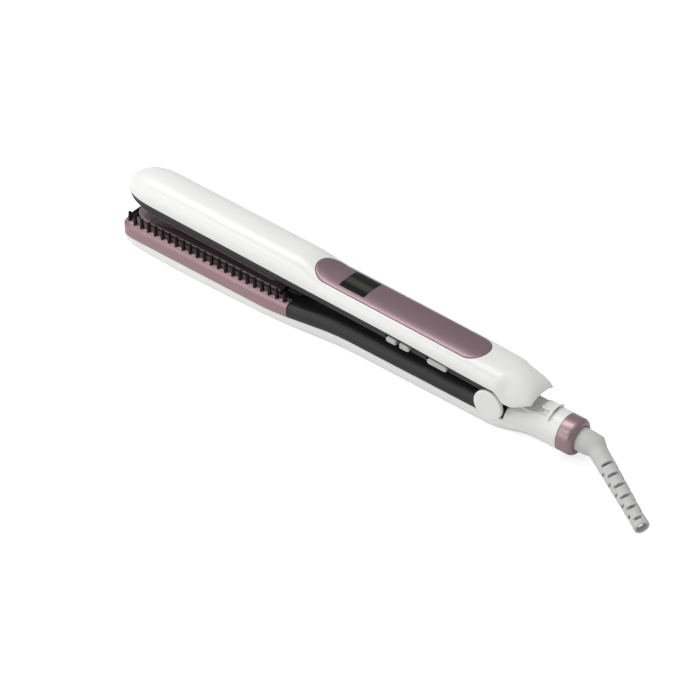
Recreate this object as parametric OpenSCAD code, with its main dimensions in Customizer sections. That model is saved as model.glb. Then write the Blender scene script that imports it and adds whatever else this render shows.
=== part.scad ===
// Hair straightening brush: two hinged arms with heated plates, a comb of teeth round the
// lower plate, a display panel and buttons on the upper arm, and a swivelling cord outlet.
// X runs along the arms from the tip (-X) to the cord (+X), -Y is the button side, +Z is up.

/* [Arms] */
// Hinge axis to the front end of the comb casing
lower_reach = 245; // [241:0.5:250]
// Hinge axis to the front end of the upper casing
upper_reach = 248; // [242:0.5:254]
// Half width of the comb casing
comb_half_w = 17.5; // [17:0.1:18.5]
// Half width of the upper casing
upper_half_w = 13.5; // [13.2:0.1:14.5]
// Half width of the lower grip
grip_half_w = 14; // [13.6:0.1:15]
// Length of the rounded front of each arm
lower_nose = 20; // [18:0.5:22]
// Length of the upper arm's rounded nose
upper_nose = 25; // [20:0.5:30]
// Wall of the casings
wall = 1.5; // [1.3:0.1:1.8]
// Height of the hinge axis above the resting face
hinge_h = 17.4; // [16.8:0.1:19]
// Height of the parting line below the hinge axis at the comb
comb_part_drop = 8.4; // [7.6:0.1:9.4]
// Height of the parting line below the hinge axis at the grip
grip_part_drop = 5.4; // [4.8:0.1:6.2]
// Lower edge of the upper casing above the hinge axis at the plates
upper_edge_h = 11.2; // [10.6:0.1:12]
// Height of the upper casing above its lower edge at the plates
upper_dome_h = 11.3; // [10:0.1:13]
// Height of the upper casing above its lower edge at the grip panel
grip_dome_h = 7.9; // [7:0.1:9]

/* [Opening] */
// Angle of the upper arm above the closed position as modelled
rest_open_deg = 1.3; // [1:0.1:2]

/* [Heated plates] */
// Height of the lower plate's face above the hinge axis
plate_face_h = 2.2; // [1.8:0.1:2.8]
// Hinge axis to the rear end of the upper plate's heated length
plate_rear = 135.5; // [134:0.5:138]
// Length of the lower plate
plate_len = 92; // [86:0.5:94]
// Front end of the comb casing to the lower plate
plate_setback = 17.5; // [16:0.5:20]
// Width of the plates
plate_w = 22; // [20:0.1:22.6]
// Thickness of the plates
plate_t = 2; // [1.6:0.1:2.4]
// Gap between the closed plates
plate_gap = 0.3; // [0.2:0.05:0.6]
// Travel of the floating upper plate
float_travel = 1; // [0.6:0.1:1.2]

/* [Comb] */
// Spacing of the teeth
tooth_pitch = 5; // [4.6:0.1:6]
// Height of the teeth above their shelf
tooth_h = 6.6; // [5:0.1:7]
// Radius of a tooth at its foot
tooth_r = 1.1; // [0.8:0.05:1.2]
// Depth of the tooth row inside the comb casing's side
tooth_inset = 2.75; // [2.7:0.05:3]
// Height of the comb shelf above the hinge axis
shelf_h = 0.3; // [0:0.1:0.6]

/* [Grip panel and display] */
// Hinge axis to the rear end of the panel
panel_rear = 11; // [8:0.5:12]
// Length of the panel
panel_len = 107.5; // [102:0.5:108.5]
// Width of the panel
panel_w = 18.6; // [17.6:0.1:19]
// Thickness of the panel
panel_t = 1; // [0.8:0.1:1.2]
// Length of the display window
window_len = 16.2; // [12:0.1:18]
// Width of the display window
window_w = 12.6; // [9:0.1:13]
// Panel's front end to the display window
window_setback = 18; // [16:0.5:22]

/* [Buttons] */
// Hinge axis to the middle of the power button
power_at = 31.5; // [28:0.5:34]
// Length of the power button
power_len = 13; // [10:0.1:14]
// Hinge axis to the middle of the temperature pair
pair_at = 57; // [54:0.5:60]
// Length of each button of the temperature pair
pair_len = 7; // [5:0.1:7.6]
// Gap between the buttons of the pair
pair_gap = 1.4; // [1:0.1:2]
// Height of the buttons
button_h = 3.1; // [2.6:0.1:3.4]
// Travel of the buttons
button_travel = 0.5; // [0.3:0.05:0.6]
// How far the buttons stand out of the side
button_proud = 1; // [0.8:0.05:1.2]

/* [Hinge] */
// Radius of the hinge pin
pin_r = 2; // [1.8:0.05:2.2]
// Running clearance round the pin
pin_gap = 0.05; // [0.03:0.01:0.08]
// Radius of the round hinge caps
cap_r = 8.4; // [8:0.1:8.6]
// Hinge centre plane to the outer face of a cap
cap_out = 14.2; // [13.8:0.1:14.6]
// Thickness of a cap's disc
cap_t = 1.8; // [1.4:0.1:2.2]
// Gap between pieces that move past each other
move_gap = 0.35; // [0.3:0.05:0.45]

/* [Tail] */
// Radius of the round tail
tail_r = 9.8; // [9.4:0.1:10.2]
// Depth of the tail's axis below the hinge axis
tail_drop = 4.9; // [4.6:0.1:5.2]
// Hinge axis to the front of the collar ring
collar_at = 37.6; // [37:0.1:39]
// Length of the collar ring
collar_len = 8.7; // [7.5:0.1:10]
// Travel of the lock slide
lock_travel = 4; // [3:0.1:4.5]

/* [Cord outlet] */
// Radius of the swivel where it leaves the collar
swivel_r = 6.3; // [5.8:0.1:6.6]
// Length of the swivel from the collar to the bend
swivel_reach = 8.2; // [7:0.2:10]
// Bend of the strain relief away from the tail's axis
relief_bend_deg = 30.5; // [24:0.1:48]
// Turn of the bend from straight down towards the button side
relief_turn_deg = 71.9; // [0:0.1:90]
// Length of the strain relief after the bend
relief_len = 52; // [42:0.1:60]
// Radius of the cord bore
cord_bore_r = 3; // [2.6:0.1:3.2]

/* [Hidden] */

// Casings and grips, measured from the hinge axis
lower_plate_front = lower_reach - plate_setback;
lower_plate_rear = lower_plate_front - plate_len;
comb_behind = 8.5;
comb_rear = lower_plate_rear - comb_behind;
rest_mid = (lower_reach - lower_nose) / 2;
lower_nose_p = 5.5;
upper_nose_p = 2.4;
frame_nose_p = 2.6;
grip_crown_h = 2.2;
upper_grip_edge_h = 10.8;
hinge_edge_h = 9.9;
upper_skirt_h = 4.3;
grip_skirt_h = 5.2;
skirt_inset = 0.7;
cover_wall = 1.4;
cover_tip_share = 0.28;
cover_rear = 9;
cover_side = upper_half_w - skirt_inset;
tail_front = 4;
upper_rear = 22;
belly_cut = 0.8;
seam = 0.1;
shelf_gap = 0.3;

// Where the casings' curves change, before and behind the comb's or the panel's end
narrow_before = 18;
narrow_behind = 39;
scoop_behind = 2;
scoop_len = 30;
grip_round_len = 37;
nose_round_len = 40;
belly_before = 68;
belly_join = 8;
belly_behind = 47;
tail_from = -2;
tail_full = 24;
tail_round_len = 20;
tail_narrow = 7.6;
upper_tail_h = 8.1;
dome_before = 9.5;
dome_behind = 12.5;
edge_before = 6.5;
edge_behind = 48.5;
edge_rise_at = 60;
edge_rise_end = 5;
floor_before = 4.5;
floor_behind = 23.5;

// Screws, their bosses and the pads under their heads
screw_r = 1.1;
screw_len = 7;
screw_head_r = 2.6;
screw_head_t = 1.5;
boss_r = 2.9;
pad_r = 3.8;
pad_t = 3.2;
grip_screw_setback = 28;
grip_screw_rear = 42;
grip_screws = [-comb_rear + grip_screw_setback, -grip_screw_rear];
cover_screw_setback = 5.5;
cover_screw_rear = 3.8;
cover_screws = [-panel_rear - panel_len - cover_screw_setback, -cover_screw_rear];

// Comb
tooth_start = 2.7;
teeth_rear = comb_rear + tooth_start;
shelf_shoulder = tooth_inset - tooth_r - 0.1;
rail_h = 3;
tip_inset = 2.2;
tip_t = 0.9;
comb_run = 8;
comb_turn = 16;

// Plates, their frames and heaters
plate_seat_h = plate_face_h - plate_t;
upper_face_h = plate_face_h + plate_gap;
frame_half_w = plate_w / 2;
frame_setback = 3.4;
frame_front = lower_reach - frame_setback;
upper_setback = 12;
upper_front = upper_reach - upper_setback;
upper_overhang = 3;
upper_plate_rear = plate_rear - upper_overhang;
frame_reach = 4.5;
frame_rear = comb_rear - frame_reach;
frame_base_h = -3.4;
leg_inset_front = 12.5;
leg_inset_rear = 9.5;
frame_legs = [-lower_plate_front + leg_inset_front, -lower_plate_rear - leg_inset_rear];
tongue_w = 15;
plate_groove = 2.2;
frame_rear_t = 2.4;
heater_w = 13;
heater_t = 2;
lower_heater_inset = 9;
lower_heater_span = [-lower_plate_front + lower_heater_inset, -lower_plate_rear - lower_heater_inset];
upper_heater_inset = 14.75;
upper_heater_span = [-upper_front + upper_heater_inset, -upper_plate_rear - upper_heater_inset];
clip_inset = 9;
clip_bow = 0.5;
clip_t = 0.5;
carrier_t = 3;
tab_reach = 2.6;
tab_t = 1.2;
spring_inset_front = 10;
spring_inset_rear = 9.5;
spring_at = [-upper_front + spring_inset_front, -upper_plate_rear - spring_inset_rear];
spring_off = 5;
spring_top_h = 11.5;

// Panel, window and boards
panel_front = panel_rear + panel_len;
window_front = panel_front - window_setback;
board_reach = 2.5;
board_front = window_front + board_reach;
board_rear = 24;
board_w = 17;
board_h = 12;
board_t = 1.2;
panel_flange_t = 0.8;
display_top_h = upper_grip_edge_h + grip_dome_h - panel_t - 1.2;
ion_gap = 9;
ion_at = board_front + ion_gap;
ion_r = 2.4;

// Buttons as places, lengths and which ends are round
button_mid_h = 8;
switch_face = 4.4;
switch_gap = button_travel + 0.1;
pair_step = (pair_len + pair_gap) / 2;
button_flange = (pair_gap - 0.3) / 2;
buttons = [
  [-power_at, power_len, true, true],
  [-pair_at + pair_step, pair_len, false, true],
  [-pair_at - pair_step, pair_len, true, false]
];

// Hinge
ear_r = 6.6;
ear_t = 2.4;
lower_ear_out = cap_out - cap_t - seam;
upper_ear_out = lower_ear_out - ear_t - move_gap;
coil_r = 3.2;
coil_wire = 0.55;
coil_turns = 6.5;
coil_pitch = 1.6;
coil_foot = 13;

// Tail and lock
tail_cover_front = 8.8;
recess_h = 2.6;
recess_w = 10.8;
recess_front = 12;
recess_rear = 31;
lip_at = 29.8;
lip_t = 1.5;
lip_h = 1.6;
lip_angle = 40;
slide_at = 23.4;
slide_t = 0.9;
hook_at = 24.8;
hook_w = 7;
hook_h = 5.35;
hook_t = 1.05;
foot_at = 26.2;
lug_at = 19.4;
lug_len = 4;
lug_w = 7;
lug_h = 7.2;
lug_t = 0.8;

// Cord outlet
bush_r = 5;
spigot_len = 3.5;
ring_at = [collar_at - 12.8, collar_at - 8.8];
relief_root_r = 4.8;
relief_end_r = 3.6;
end_flange_t = 3.4;
slots = 6;
slot_w = 1.6;
slot_len = 5.6;
slot_start = 0.22;
slot_step = 0.13;
lead_r = 0.8;

// Steps of drawn curves
fine = 48;
arc_steps = 14;

function clamp01(t) = max(0, min(1, t));
function ease(x, a, b) = let (t = clamp01((x - a) / (b - a))) t * t * (3 - 2 * t);
function mix(a, b, t) = a + (b - a) * t;
function powered(v, e) = sign(v) * pow(abs(v), e);
function rounded(u, p) = max(0.02, pow(1 - pow(clamp01(u), p), 1 / p));
function quarter_drop(x, a, b) = 1 - sqrt(1 - pow(clamp01((x - a) / (b - a)), 2));

// Points of an arch from the near side over the crown to the far side
function arch(x, w, base, h, n, steps) =
  [for (i = [0:steps]) let (a = 180 * i / steps)
    [x, -w * powered(cos(a), 2 / n), base + h * pow(abs(sin(a)), 2 / n)]];

// Stations along an arm: close together in the nose, then evenly to the rear end
function nose(count, p) = [for (i = [0:count]) let (a = 90 * i / count)
  [pow(cos(a), 2 / p), max(0.02, pow(sin(a), 2 / p))]];
function even(a, b, count) = [for (i = [1:count]) mix(a, b, i / count)];

// Half width, parting line, depth and roundness of the lower arm at x
function tail_share(x) = ease(x, tail_from, tail_full);
function grip_share(x) = ease(x, -comb_rear - narrow_before, -comb_rear + narrow_behind);
function lower_w(x) = mix(mix(comb_half_w, grip_half_w, grip_share(x)), tail_r, tail_share(x));
function lower_part(x) = -mix(mix(comb_part_drop, grip_part_drop, grip_share(x)), tail_drop, tail_share(x));
function lower_depth(x) = mix(hinge_h + belly_cut + lower_part(x), tail_r, tail_share(x));
function lower_n(x) = mix(mix(mix(
  mix(2.7, 3.6, ease(x, -lower_reach, -lower_reach + nose_round_len)),
  2.7, ease(x, -comb_rear - belly_before, -comb_rear - belly_join)),
  2.2, ease(x, -comb_rear - belly_join, -comb_rear + belly_behind)), 2, tail_share(x));

// Half width, lower edge, crown and roundness of the upper arm at x in its closed position
function rear_share(x) = quarter_drop(x, tail_front, tail_front + tail_round_len);
function panel_share(x) = ease(x, -panel_front - dome_before, -panel_front + dome_behind);
function upper_w(x) = mix(upper_half_w, upper_half_w - tail_narrow, rear_share(x));
function cover_rim(x) = mix(
  mix(upper_edge_h, upper_grip_edge_h, ease(x, -panel_front - edge_before, -panel_front + edge_behind)),
  hinge_edge_h, ease(x, -edge_rise_at, -edge_rise_end));
function upper_edge(x) = cover_rim(x) - 4.6 * ease(x, 2, 9) + 3.6 * ease(x, 12, upper_rear);
function upper_crown(x) = mix(mix(upper_edge_h + upper_dome_h, upper_grip_edge_h + grip_dome_h,
  panel_share(x)), upper_tail_h, rear_share(x));
function upper_n(x) = mix(mix(2.3, 2.6, panel_share(x)), 2.2, ease(x, -20, 10));

// A sheet of two point grids, outer and inner, joined along their edges
module sheet(outer, inner) {
  rows = len(outer);
  cols = len(outer[0]);
  total = rows * cols;
  function quad(a, b, c, d) = [[a, b, c], [a, c, d]];
  function at(j, i) = j * cols + i;
  polyhedron(
    points = [for (grid = [outer, inner], row = grid, p = row) p],
    faces = concat(
      [for (j = [0:rows - 2], i = [0:cols - 2],
        t = quad(at(j, i), at(j, i + 1), at(j + 1, i + 1), at(j + 1, i))) t],
      [for (j = [0:rows - 2], i = [0:cols - 2],
        t = quad(total + at(j, i), total + at(j + 1, i), total + at(j + 1, i + 1), total + at(j, i + 1))) t],
      [for (j = [0:rows - 2],
        t = quad(at(j, 0), at(j + 1, 0), total + at(j + 1, 0), total + at(j, 0))) t],
      [for (j = [0:rows - 2],
        t = quad(at(j, cols - 1), total + at(j, cols - 1), total + at(j + 1, cols - 1),
          at(j + 1, cols - 1))) t],
      [for (i = [0:cols - 2], t = quad(at(0, i), total + at(0, i), total + at(0, i + 1), at(0, i + 1))) t],
      [for (i = [0:cols - 2], t = quad(at(rows - 1, i), at(rows - 1, i + 1), total + at(rows - 1, i + 1),
        total + at(rows - 1, i))) t]),
    convexity = 8);
}

// A solid swept through closed rings of points, with flat ends
module swept(rings) {
  cols = len(rings[0]);
  rows = len(rings);
  polyhedron(
    points = [for (ring = rings, p = ring) p],
    faces = concat(
      [[for (i = [cols - 1:-1:0]) i]],
      [for (j = [0:rows - 2], i = [0:cols - 1]) let (a = j * cols + i, b = j * cols + (i + 1) % cols)
        each [[a, b, b + cols], [a, b + cols, a + cols]]],
      [[for (i = [0:cols - 1]) (rows - 1) * cols + i]]),
    convexity = 8);
}

// Puts pieces drawn about the hinge axis into the part's frame
module lower() { translate([rest_mid, 0, hinge_h]) children(); }
module upper() { lower() rotate([0, rest_open_deg, 0]) children(); }
module along_x(x, y, z) { translate([x, y, z]) rotate([0, 90, 0]) children(); }
module along_y(x, y, z) { translate([x, y, z]) rotate([-90, 0, 0]) children(); }
module mirrored_y() {
  children();
  mirror([0, 1, 0]) children();
}

// A bar with round ends from x0 to x1, seen from above
module obround(x0, x1, w) {
  r = w / 2;
  for (x = [x0 + r, x1 - r]) translate([x, 0]) circle(r = r, $fn = fine);
  translate([x0 + r, -r]) square([x1 - x0 - w, w]);
}

// Rows of the lower arm's outer skin, or of its inside when inset is the wall
function lower_row(x, f, g, inset) =
  let (w = (lower_w(x) - inset) * f, d = (lower_depth(x) - inset) * g, n = lower_n(x))
  [for (i = [0:arc_steps]) let (a = 180 + 180 * i / arc_steps)
    [x, -w * powered(cos(a), 2 / n),
     max(lower_part(x) + d * powered(sin(a), 2 / n), inset - hinge_h)]];
function lower_grid(inset) = concat(
  [for (q = nose(8, lower_nose_p)) lower_row(lower_nose - lower_reach - (lower_nose - inset) * q[0],
    q[1], rounded(q[0], 4), inset)],
  [for (x = concat(even(lower_nose - lower_reach, -comb_rear, comb_run),
    even(-comb_rear, tail_from - 6, 9), even(tail_from - 6, tail_full, 7),
    even(tail_full, collar_at, 2))) lower_row(x, 1, 1, inset)]);

// Rows of the upper arm's outer skin
function upper_row(x, f, g, inset) =
  let (w = (upper_w(x) - inset) * f, e = upper_edge(x), n = upper_n(x))
  [for (i = [0:arc_steps]) let (a = 180 * i / arc_steps)
    [x, -w * powered(cos(a), 2 / n), e + (upper_crown(x) - e - inset) * g * powered(sin(a), 2 / n)]];
upper_stations = concat(even(upper_nose - upper_reach, -panel_front - dome_before, 4),
  even(-panel_front - dome_before, -panel_front + dome_behind + 2, 5),
  even(-panel_front + dome_behind + 2, 0, 8), even(0, upper_rear, 8));
function upper_grid(inset) = concat(
  [for (q = nose(8, upper_nose_p)) upper_row(upper_nose - upper_reach - (upper_nose - inset) * q[0],
    q[1], rounded(q[0], 2.2), inset)],
  [for (x = upper_stations) upper_row(x, 1, 1, inset)]);

// The comb's path: along the near side, round the nose and back along the far side
comb_last = 2 * comb_run + comb_turn;
comb_bend = lower_nose - lower_reach;
function comb_at(k, d, front, p = lower_nose_p) =
  k <= comb_run ? let (x = mix(-comb_rear, comb_bend, k / comb_run)) [x, d - lower_w(x)] :
  k >= comb_run + comb_turn ?
    let (x = mix(comb_bend, -comb_rear, (k - comb_run - comb_turn) / comb_run)) [x, lower_w(x) - d] :
  let (a = -90 + 180 * (k - comb_run) / comb_turn)
    [comb_bend - (lower_nose - front) * pow(cos(a), 2 / p), (comb_half_w - d) * powered(sin(a), 2 / p)];
lip_front = lower_reach - frame_front;

// One section of the comb casing: distances in from side and nose, height and nose exponent
function comb_section(x) =
  let (w = lower_w(x), lip = w - frame_half_w - shelf_gap, part = lower_part(x) + seam, top = shelf_h,
       n = mix(2.6, 5, ease(x, -lower_reach + lower_nose - 5, -lower_plate_rear)))
  concat([for (z = [top - wall, top]) [lip, lip_front - shelf_gap, z, frame_nose_p]],
    [for (a = [0:18:90]) let (d = shelf_shoulder * (1 - pow(sin(a), 2 / n)))
      [d, d, part + (top - part) * pow(cos(a), 2 / n), lower_nose_p]],
    [for (q = [[wall, part], [wall, top - wall - 0.1], [wall + 0.1, top - wall]])
      [q[0], q[0], q[1], lower_nose_p]]);
function comb_ring(k) = [for (q = comb_section(comb_at(k, 0, 0)[0]))
  let (p = comb_at(k, q[0], q[1], q[3])) [p[0], p[1], q[2]]];

// Tooth places at equal steps along the path, as lengths from the rear end of the near row
comb_path = [for (k = [0:0.25:comb_last]) comb_at(k, tooth_inset, tooth_inset)];
function lengths(pts) = [for (i = 0, s = 0; i < len(pts);
  s = s + (i + 1 < len(pts) ? norm(pts[i + 1] - pts[i]) : 0), i = i + 1) s];
comb_lengths = lengths(comb_path);
path_x = [for (i = [0:len(comb_path) - 1]) [comb_lengths[i], comb_path[i][0]]];
path_y = [for (i = [0:len(comb_path) - 1]) [comb_lengths[i], comb_path[i][1]]];
path_k = [for (i = [0:len(comb_path) - 1]) [comb_lengths[i], i / 4]];
row_start = teeth_rear - comb_rear;
tooth_end_gap = 5.2;
row_teeth = floor((lower_reach - tooth_end_gap - teeth_rear) / tooth_pitch) + 1;
function tooth_at(i) = let (s = row_start + i * tooth_pitch) [lookup(s, path_x), lookup(s, path_y)];

module lower_shell() {
  color("white") lower() {
    difference() {
      union() {
        sheet(lower_grid(0), lower_grid(wall));
        for (x = grip_screws) translate([x, 0, -hinge_h + wall / 2])
          cylinder(r = boss_r, h = hinge_h - wall / 2 + grip_crown(x) - pad_t - seam, $fn = fine);
        mirrored_y() hinge_ear(lower_ear_out, ear_r, -11, 3);
        translate([-coil_foot, -7, wall / 2 - hinge_h])
          cube([2, 4, hinge_h - wall / 2 - coil_r - coil_wire - seam]);
      }
      for (x = grip_screws) translate([x, 0, grip_crown(x) - pad_t - screw_len])
        cylinder(r = screw_r, h = screw_len, $fn = fine);
      along_y(0, -cap_out, 0) cylinder(r = pin_r, h = 2 * cap_out, $fn = fine);
      mirrored_y() along_y(0, lower_ear_out, 0) cylinder(r = cap_r + seam, h = cap_out, $fn = 2 * fine);
    }
  }
}

// A knuckle plate for the hinge pin, between the radius round the pin and the height foot
module hinge_ear(out, r, foot, rear) {
  along_y(0, out - ear_t, 0) cylinder(r = r, h = ear_t, $fn = fine);
  translate([-r, out - ear_t, min(foot, 0)]) cube([r + rear, ear_t, abs(foot)]);
}

module comb_casing() {
  color("rosybrown") lower() difference() {
    swept([for (k = [0:comb_last]) comb_ring(k)]);
    mirrored_y() for (i = [0:row_teeth - 1]) translate([tooth_at(i)[0], tooth_at(i)[1], shelf_h - wall - 1])
      cylinder(r = tooth_r + seam, h = wall + 2, $fn = 24);
  }
}

// A tooth with a domed top, standing on the rail under the shelf
module tooth(i) {
  top = shelf_h + tooth_h;
  foot = shelf_h - wall - 0.3;
  translate([tooth_at(i)[0], tooth_at(i)[1], 0]) rotate_extrude($fn = 24) polygon(concat(
    [[0, foot], [tooth_r, foot], [tooth_r, shelf_h]],
    [for (a = [0:30:60]) [tooth_r * 0.8 * cos(a), top - tooth_r * 0.8 * (1 - sin(a))]], [[0, top]]));
}
// The near row: a rail under the shelf and the teeth that rise from it
rail_steps = 24;
module comb_row() {
  last = lookup(row_start + (row_teeth - 1) * tooth_pitch + 1.6, path_k);
  swept([for (j = [0:rail_steps]) let (k = mix(0.1, last, j / rail_steps)) [for (q = [[-tooth_r, -rail_h],
    [tooth_r, -rail_h], [tooth_r, 0], [-tooth_r, 0]])
    let (d = tooth_inset + q[0], p = comb_at(k, d, d)) [p[0], p[1], shelf_h - wall + q[1]]]]);
  for (i = [0:row_teeth - 1]) tooth(i);
}
module comb_near() { color("#262626") lower() comb_row(); }
module comb_far() { color("#262626") lower() mirror([0, 1, 0]) comb_row(); }
// A cap on the shelf between the two rows, round the plate frame's nose
module comb_tip() {
  color("#262626") lower() translate([0, 0, shelf_h + seam]) linear_extrude(tip_t) difference() {
    polygon(concat(
      [for (k = [comb_run + 4:comb_run + 12]) comb_at(k, tip_inset, tip_inset)],
      [for (k = [comb_run + 12:-1:comb_run + 4]) let (d = comb_half_w - frame_half_w - shelf_gap)
        comb_at(k, d, lip_front - shelf_gap, frame_nose_p)]));
    mirrored_y() translate(tooth_at(row_teeth - 1)) circle(r = tooth_r + seam, $fn = 24);
  }
}

// Crown of the lower grip cover, which rises from the comb shelf
function grip_crown(x) = mix(shelf_h - 0.5, grip_crown_h,
  ease(x, -comb_rear + scoop_behind, -comb_rear + scoop_behind + scoop_len));
function grip_row(x, inset) =
  arch(x, lower_w(x) - inset, lower_part(x) + seam, grip_crown(x) - lower_part(x) - inset,
    mix(5, 3, ease(x, -comb_rear, -comb_rear + grip_round_len)), arc_steps);
grip_stations = concat([-comb_rear + seam], even(-comb_rear + seam, -comb_rear + grip_round_len, 6),
  even(-comb_rear + grip_round_len, 0, 7));
module lower_grip_cover() {
  color("#2b2b2b") lower() difference() {
    union() {
      sheet([for (x = grip_stations) grip_row(x, 0)], [for (x = grip_stations) grip_row(x, wall)]);
      for (x = grip_screws) translate([x, 0, grip_crown(x) - pad_t])
        cylinder(r = pad_r, h = pad_t - 0.4, $fn = fine);
    }
    along_y(0, -2 * cap_out, 0) cylinder(r = cap_r + seam, h = 4 * cap_out, $fn = 2 * fine);
    for (x = grip_screws) translate([x, 0, grip_crown(x)]) screw_hole();
    translate([0, 0, -20]) linear_extrude(40) obround(-frame_front - 20, -frame_rear + shelf_gap,
      tongue_w + 2 * shelf_gap);
  }
}

// A screw's clearance hole and head recess below z = 0
module screw_hole() {
  translate([0, 0, -pad_t - 1]) cylinder(r = screw_r + 0.15, h = pad_t + 2, $fn = fine);
  translate([0, 0, -screw_head_t - 0.4]) cylinder(r = screw_head_r + 0.2, h = screw_head_t + 3, $fn = fine);
}
// A screw whose head's top lies at z = -0.4 and whose shank points down
module screw() {
  translate([0, 0, -0.4 - screw_head_t]) difference() {
    cylinder(r = screw_head_r, h = screw_head_t, $fn = fine);
    for (a = [0, 90]) rotate(a) translate([-1.6, -0.3, screw_head_t - 0.7]) cube([3.2, 0.6, 1]);
  }
  translate([0, 0, -pad_t - screw_len + 0.5])
    cylinder(r = screw_r, h = screw_len + pad_t - 0.9 - screw_head_t, $fn = fine);
}
module lower_screws() {
  color("silver") lower() for (x = grip_screws) translate([x, 0, grip_crown(x)]) screw();
}

module lower_plate() {
  color("#4a3f45") lower() translate([-lower_plate_front, -frame_half_w, plate_seat_h])
    cube([plate_len, 2 * frame_half_w, plate_t]);
}

module lower_plate_frame() {
  color("#7b6b73") lower() difference() {
    union() {
      translate([0, 0, frame_base_h]) linear_extrude(plate_seat_h - frame_base_h) {
        frame_outline();
        obround(-lower_plate_rear - tongue_w, -frame_rear, tongue_w);
      }
      translate([0, 0, frame_base_h]) linear_extrude(frame_rear_t)
        translate([-lower_plate_rear - 1, -frame_half_w]) square([comb_behind, 2 * frame_half_w]);
      translate([0, 0, plate_seat_h - 0.5]) linear_extrude(plate_t + 0.5) difference() {
        frame_outline();
        translate([-lower_plate_front - seam, -plate_w]) square([2 * plate_len, 2 * plate_w]);
      }
      translate([0, 0, plate_seat_h - 0.5]) linear_extrude(plate_t + 0.5) difference() {
        obround(-lower_plate_rear - tongue_w, -frame_rear, tongue_w);
        translate([-lower_plate_rear - tongue_w - 1, -plate_w])
          square([tongue_w + 1 + plate_groove, 2 * plate_w]);
      }
      for (x = frame_legs) mirrored_y() translate([x, 6, wall - hinge_h])
        cylinder(r = 2.4, h = hinge_h - wall + frame_base_h + 0.5, $fn = fine);
    }
    translate([0, 0, frame_base_h + 0.6]) heater_pocket(lower_heater_span);
  }
}
// The lower frame's outline from its rounded nose to the plate's rear end
module frame_outline() {
  polygon(concat([[-lower_plate_rear, frame_half_w], [-lower_plate_rear, -frame_half_w]],
    [for (k = [comb_run:comb_run + comb_turn])
      comb_at(k, comb_half_w - frame_half_w, lip_front, frame_nose_p)]));
}
// A heater between two places on X, and the pocket that clears it
module heater(span) {
  translate([span[0], -heater_w / 2, 0]) cube([span[1] - span[0], heater_w, heater_t]);
}
module heater_pocket(span) {
  translate([span[0] - shelf_gap, -heater_w / 2 - shelf_gap, 0])
    cube([span[1] - span[0] + 2 * shelf_gap, heater_w + 2 * shelf_gap, 20]);
}
module lower_heater() {
  color("ivory") lower() translate([0, 0, plate_seat_h - heater_t]) heater(lower_heater_span);
}
// A bowed leaf that presses a heater against its plate, drawn with its flat side up at z = 0
module heater_clip(span) {
  half = (span[1] - span[0]) / 2 - clip_inset;
  translate([(span[0] + span[1]) / 2, 0, 0]) rotate([90, 0, 0])
    linear_extrude(heater_w - 4, center = true) polygon(concat(
      [for (i = [-8:8]) [i * half / 8, -clip_bow * pow(i / 8, 2)]],
      [for (i = [8:-1:-8]) [i * half / 8, -clip_bow * pow(i / 8, 2) - clip_t]]));
}
module lower_heater_clip() {
  color("silver") lower() translate([0, 0, plate_seat_h - heater_t]) heater_clip(lower_heater_span);
}
module thermal_fuse() {
  color("silver") lower() along_x(-comb_rear - 12, 0, frame_base_h - 1.2)
    cylinder(r = 1.2, h = 10, $fn = fine);
}

module upper_shell() {
  color("white") upper() difference() {
    union() {
      sheet(upper_grid(0), upper_grid(wall));
      for (x = cover_screws) translate([x, 0, cover_floor(x) + pad_t + seam])
        cylinder(r = boss_r, h = upper_crown(x) - wall / 2 - cover_floor(x) - pad_t - seam, $fn = fine);
      for (x = spring_at) mirrored_y() translate([x, spring_off, spring_top_h])
        cylinder(r = 2.6, h = upper_crown(x) - 2 - spring_top_h, $fn = fine);
      translate([lug_at - lug_len, -lug_w / 2, lug_h]) cube([lug_len, lug_w, lug_t]);
      translate([lug_at - lug_len - 1.4, -lug_w / 2, lug_h]) cube([1.5, lug_w, 8]);
    }
    for (x = cover_screws) translate([x, 0, cover_floor(x) + pad_t])
      cylinder(r = screw_r, h = screw_len, $fn = fine);
    along_y(0, -2 * cap_out, 0) cylinder(r = cap_r + move_gap, h = 4 * cap_out, $fn = 2 * fine);
    translate([0, 0, grip_skirt_h]) linear_extrude(40) panel_outline(0);
  }
}

// The inner cover of the upper arm: a tray under the casing's edge
function cover_floor(x) = mix(upper_skirt_h, grip_skirt_h,
  ease(x, -plate_rear + floor_before, -plate_rear + floor_behind));
function cover_nose(q) = mix(cover_tip_share, 1, rounded(q, 2.4));
function cover_inside(x) =
  let (e = cover_rim(x) - seam,
       q = (-x - upper_reach + upper_nose) / (upper_nose - skirt_inset - cover_wall))
  e - (e - cover_floor(x) - cover_wall) * cover_nose(q);
function cover_row(x, f, g, inset) =
  let (w = (upper_half_w - skirt_inset - inset) * f, e = cover_rim(x) - seam,
       d = (e - cover_floor(x) - inset) * g)
  [for (i = [0:arc_steps]) let (a = 180 + 180 * i / arc_steps)
    [x, -w * powered(cos(a), 2 / 7), e + d * powered(sin(a), 2 / 7)]];
function cover_grid(inset) = concat(
  [for (q = nose(8, upper_nose_p))
    cover_row(upper_nose - upper_reach - (upper_nose - skirt_inset - inset) * q[0], q[1],
      cover_nose(q[0]), inset)],
  [for (x = concat(even(upper_nose - upper_reach, -plate_rear + floor_before, 4),
    even(-plate_rear + floor_before, -plate_rear + floor_behind, 4),
    even(-plate_rear + floor_behind, cover_rear, 7))) cover_row(x, 1, 1, inset)]);
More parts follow.
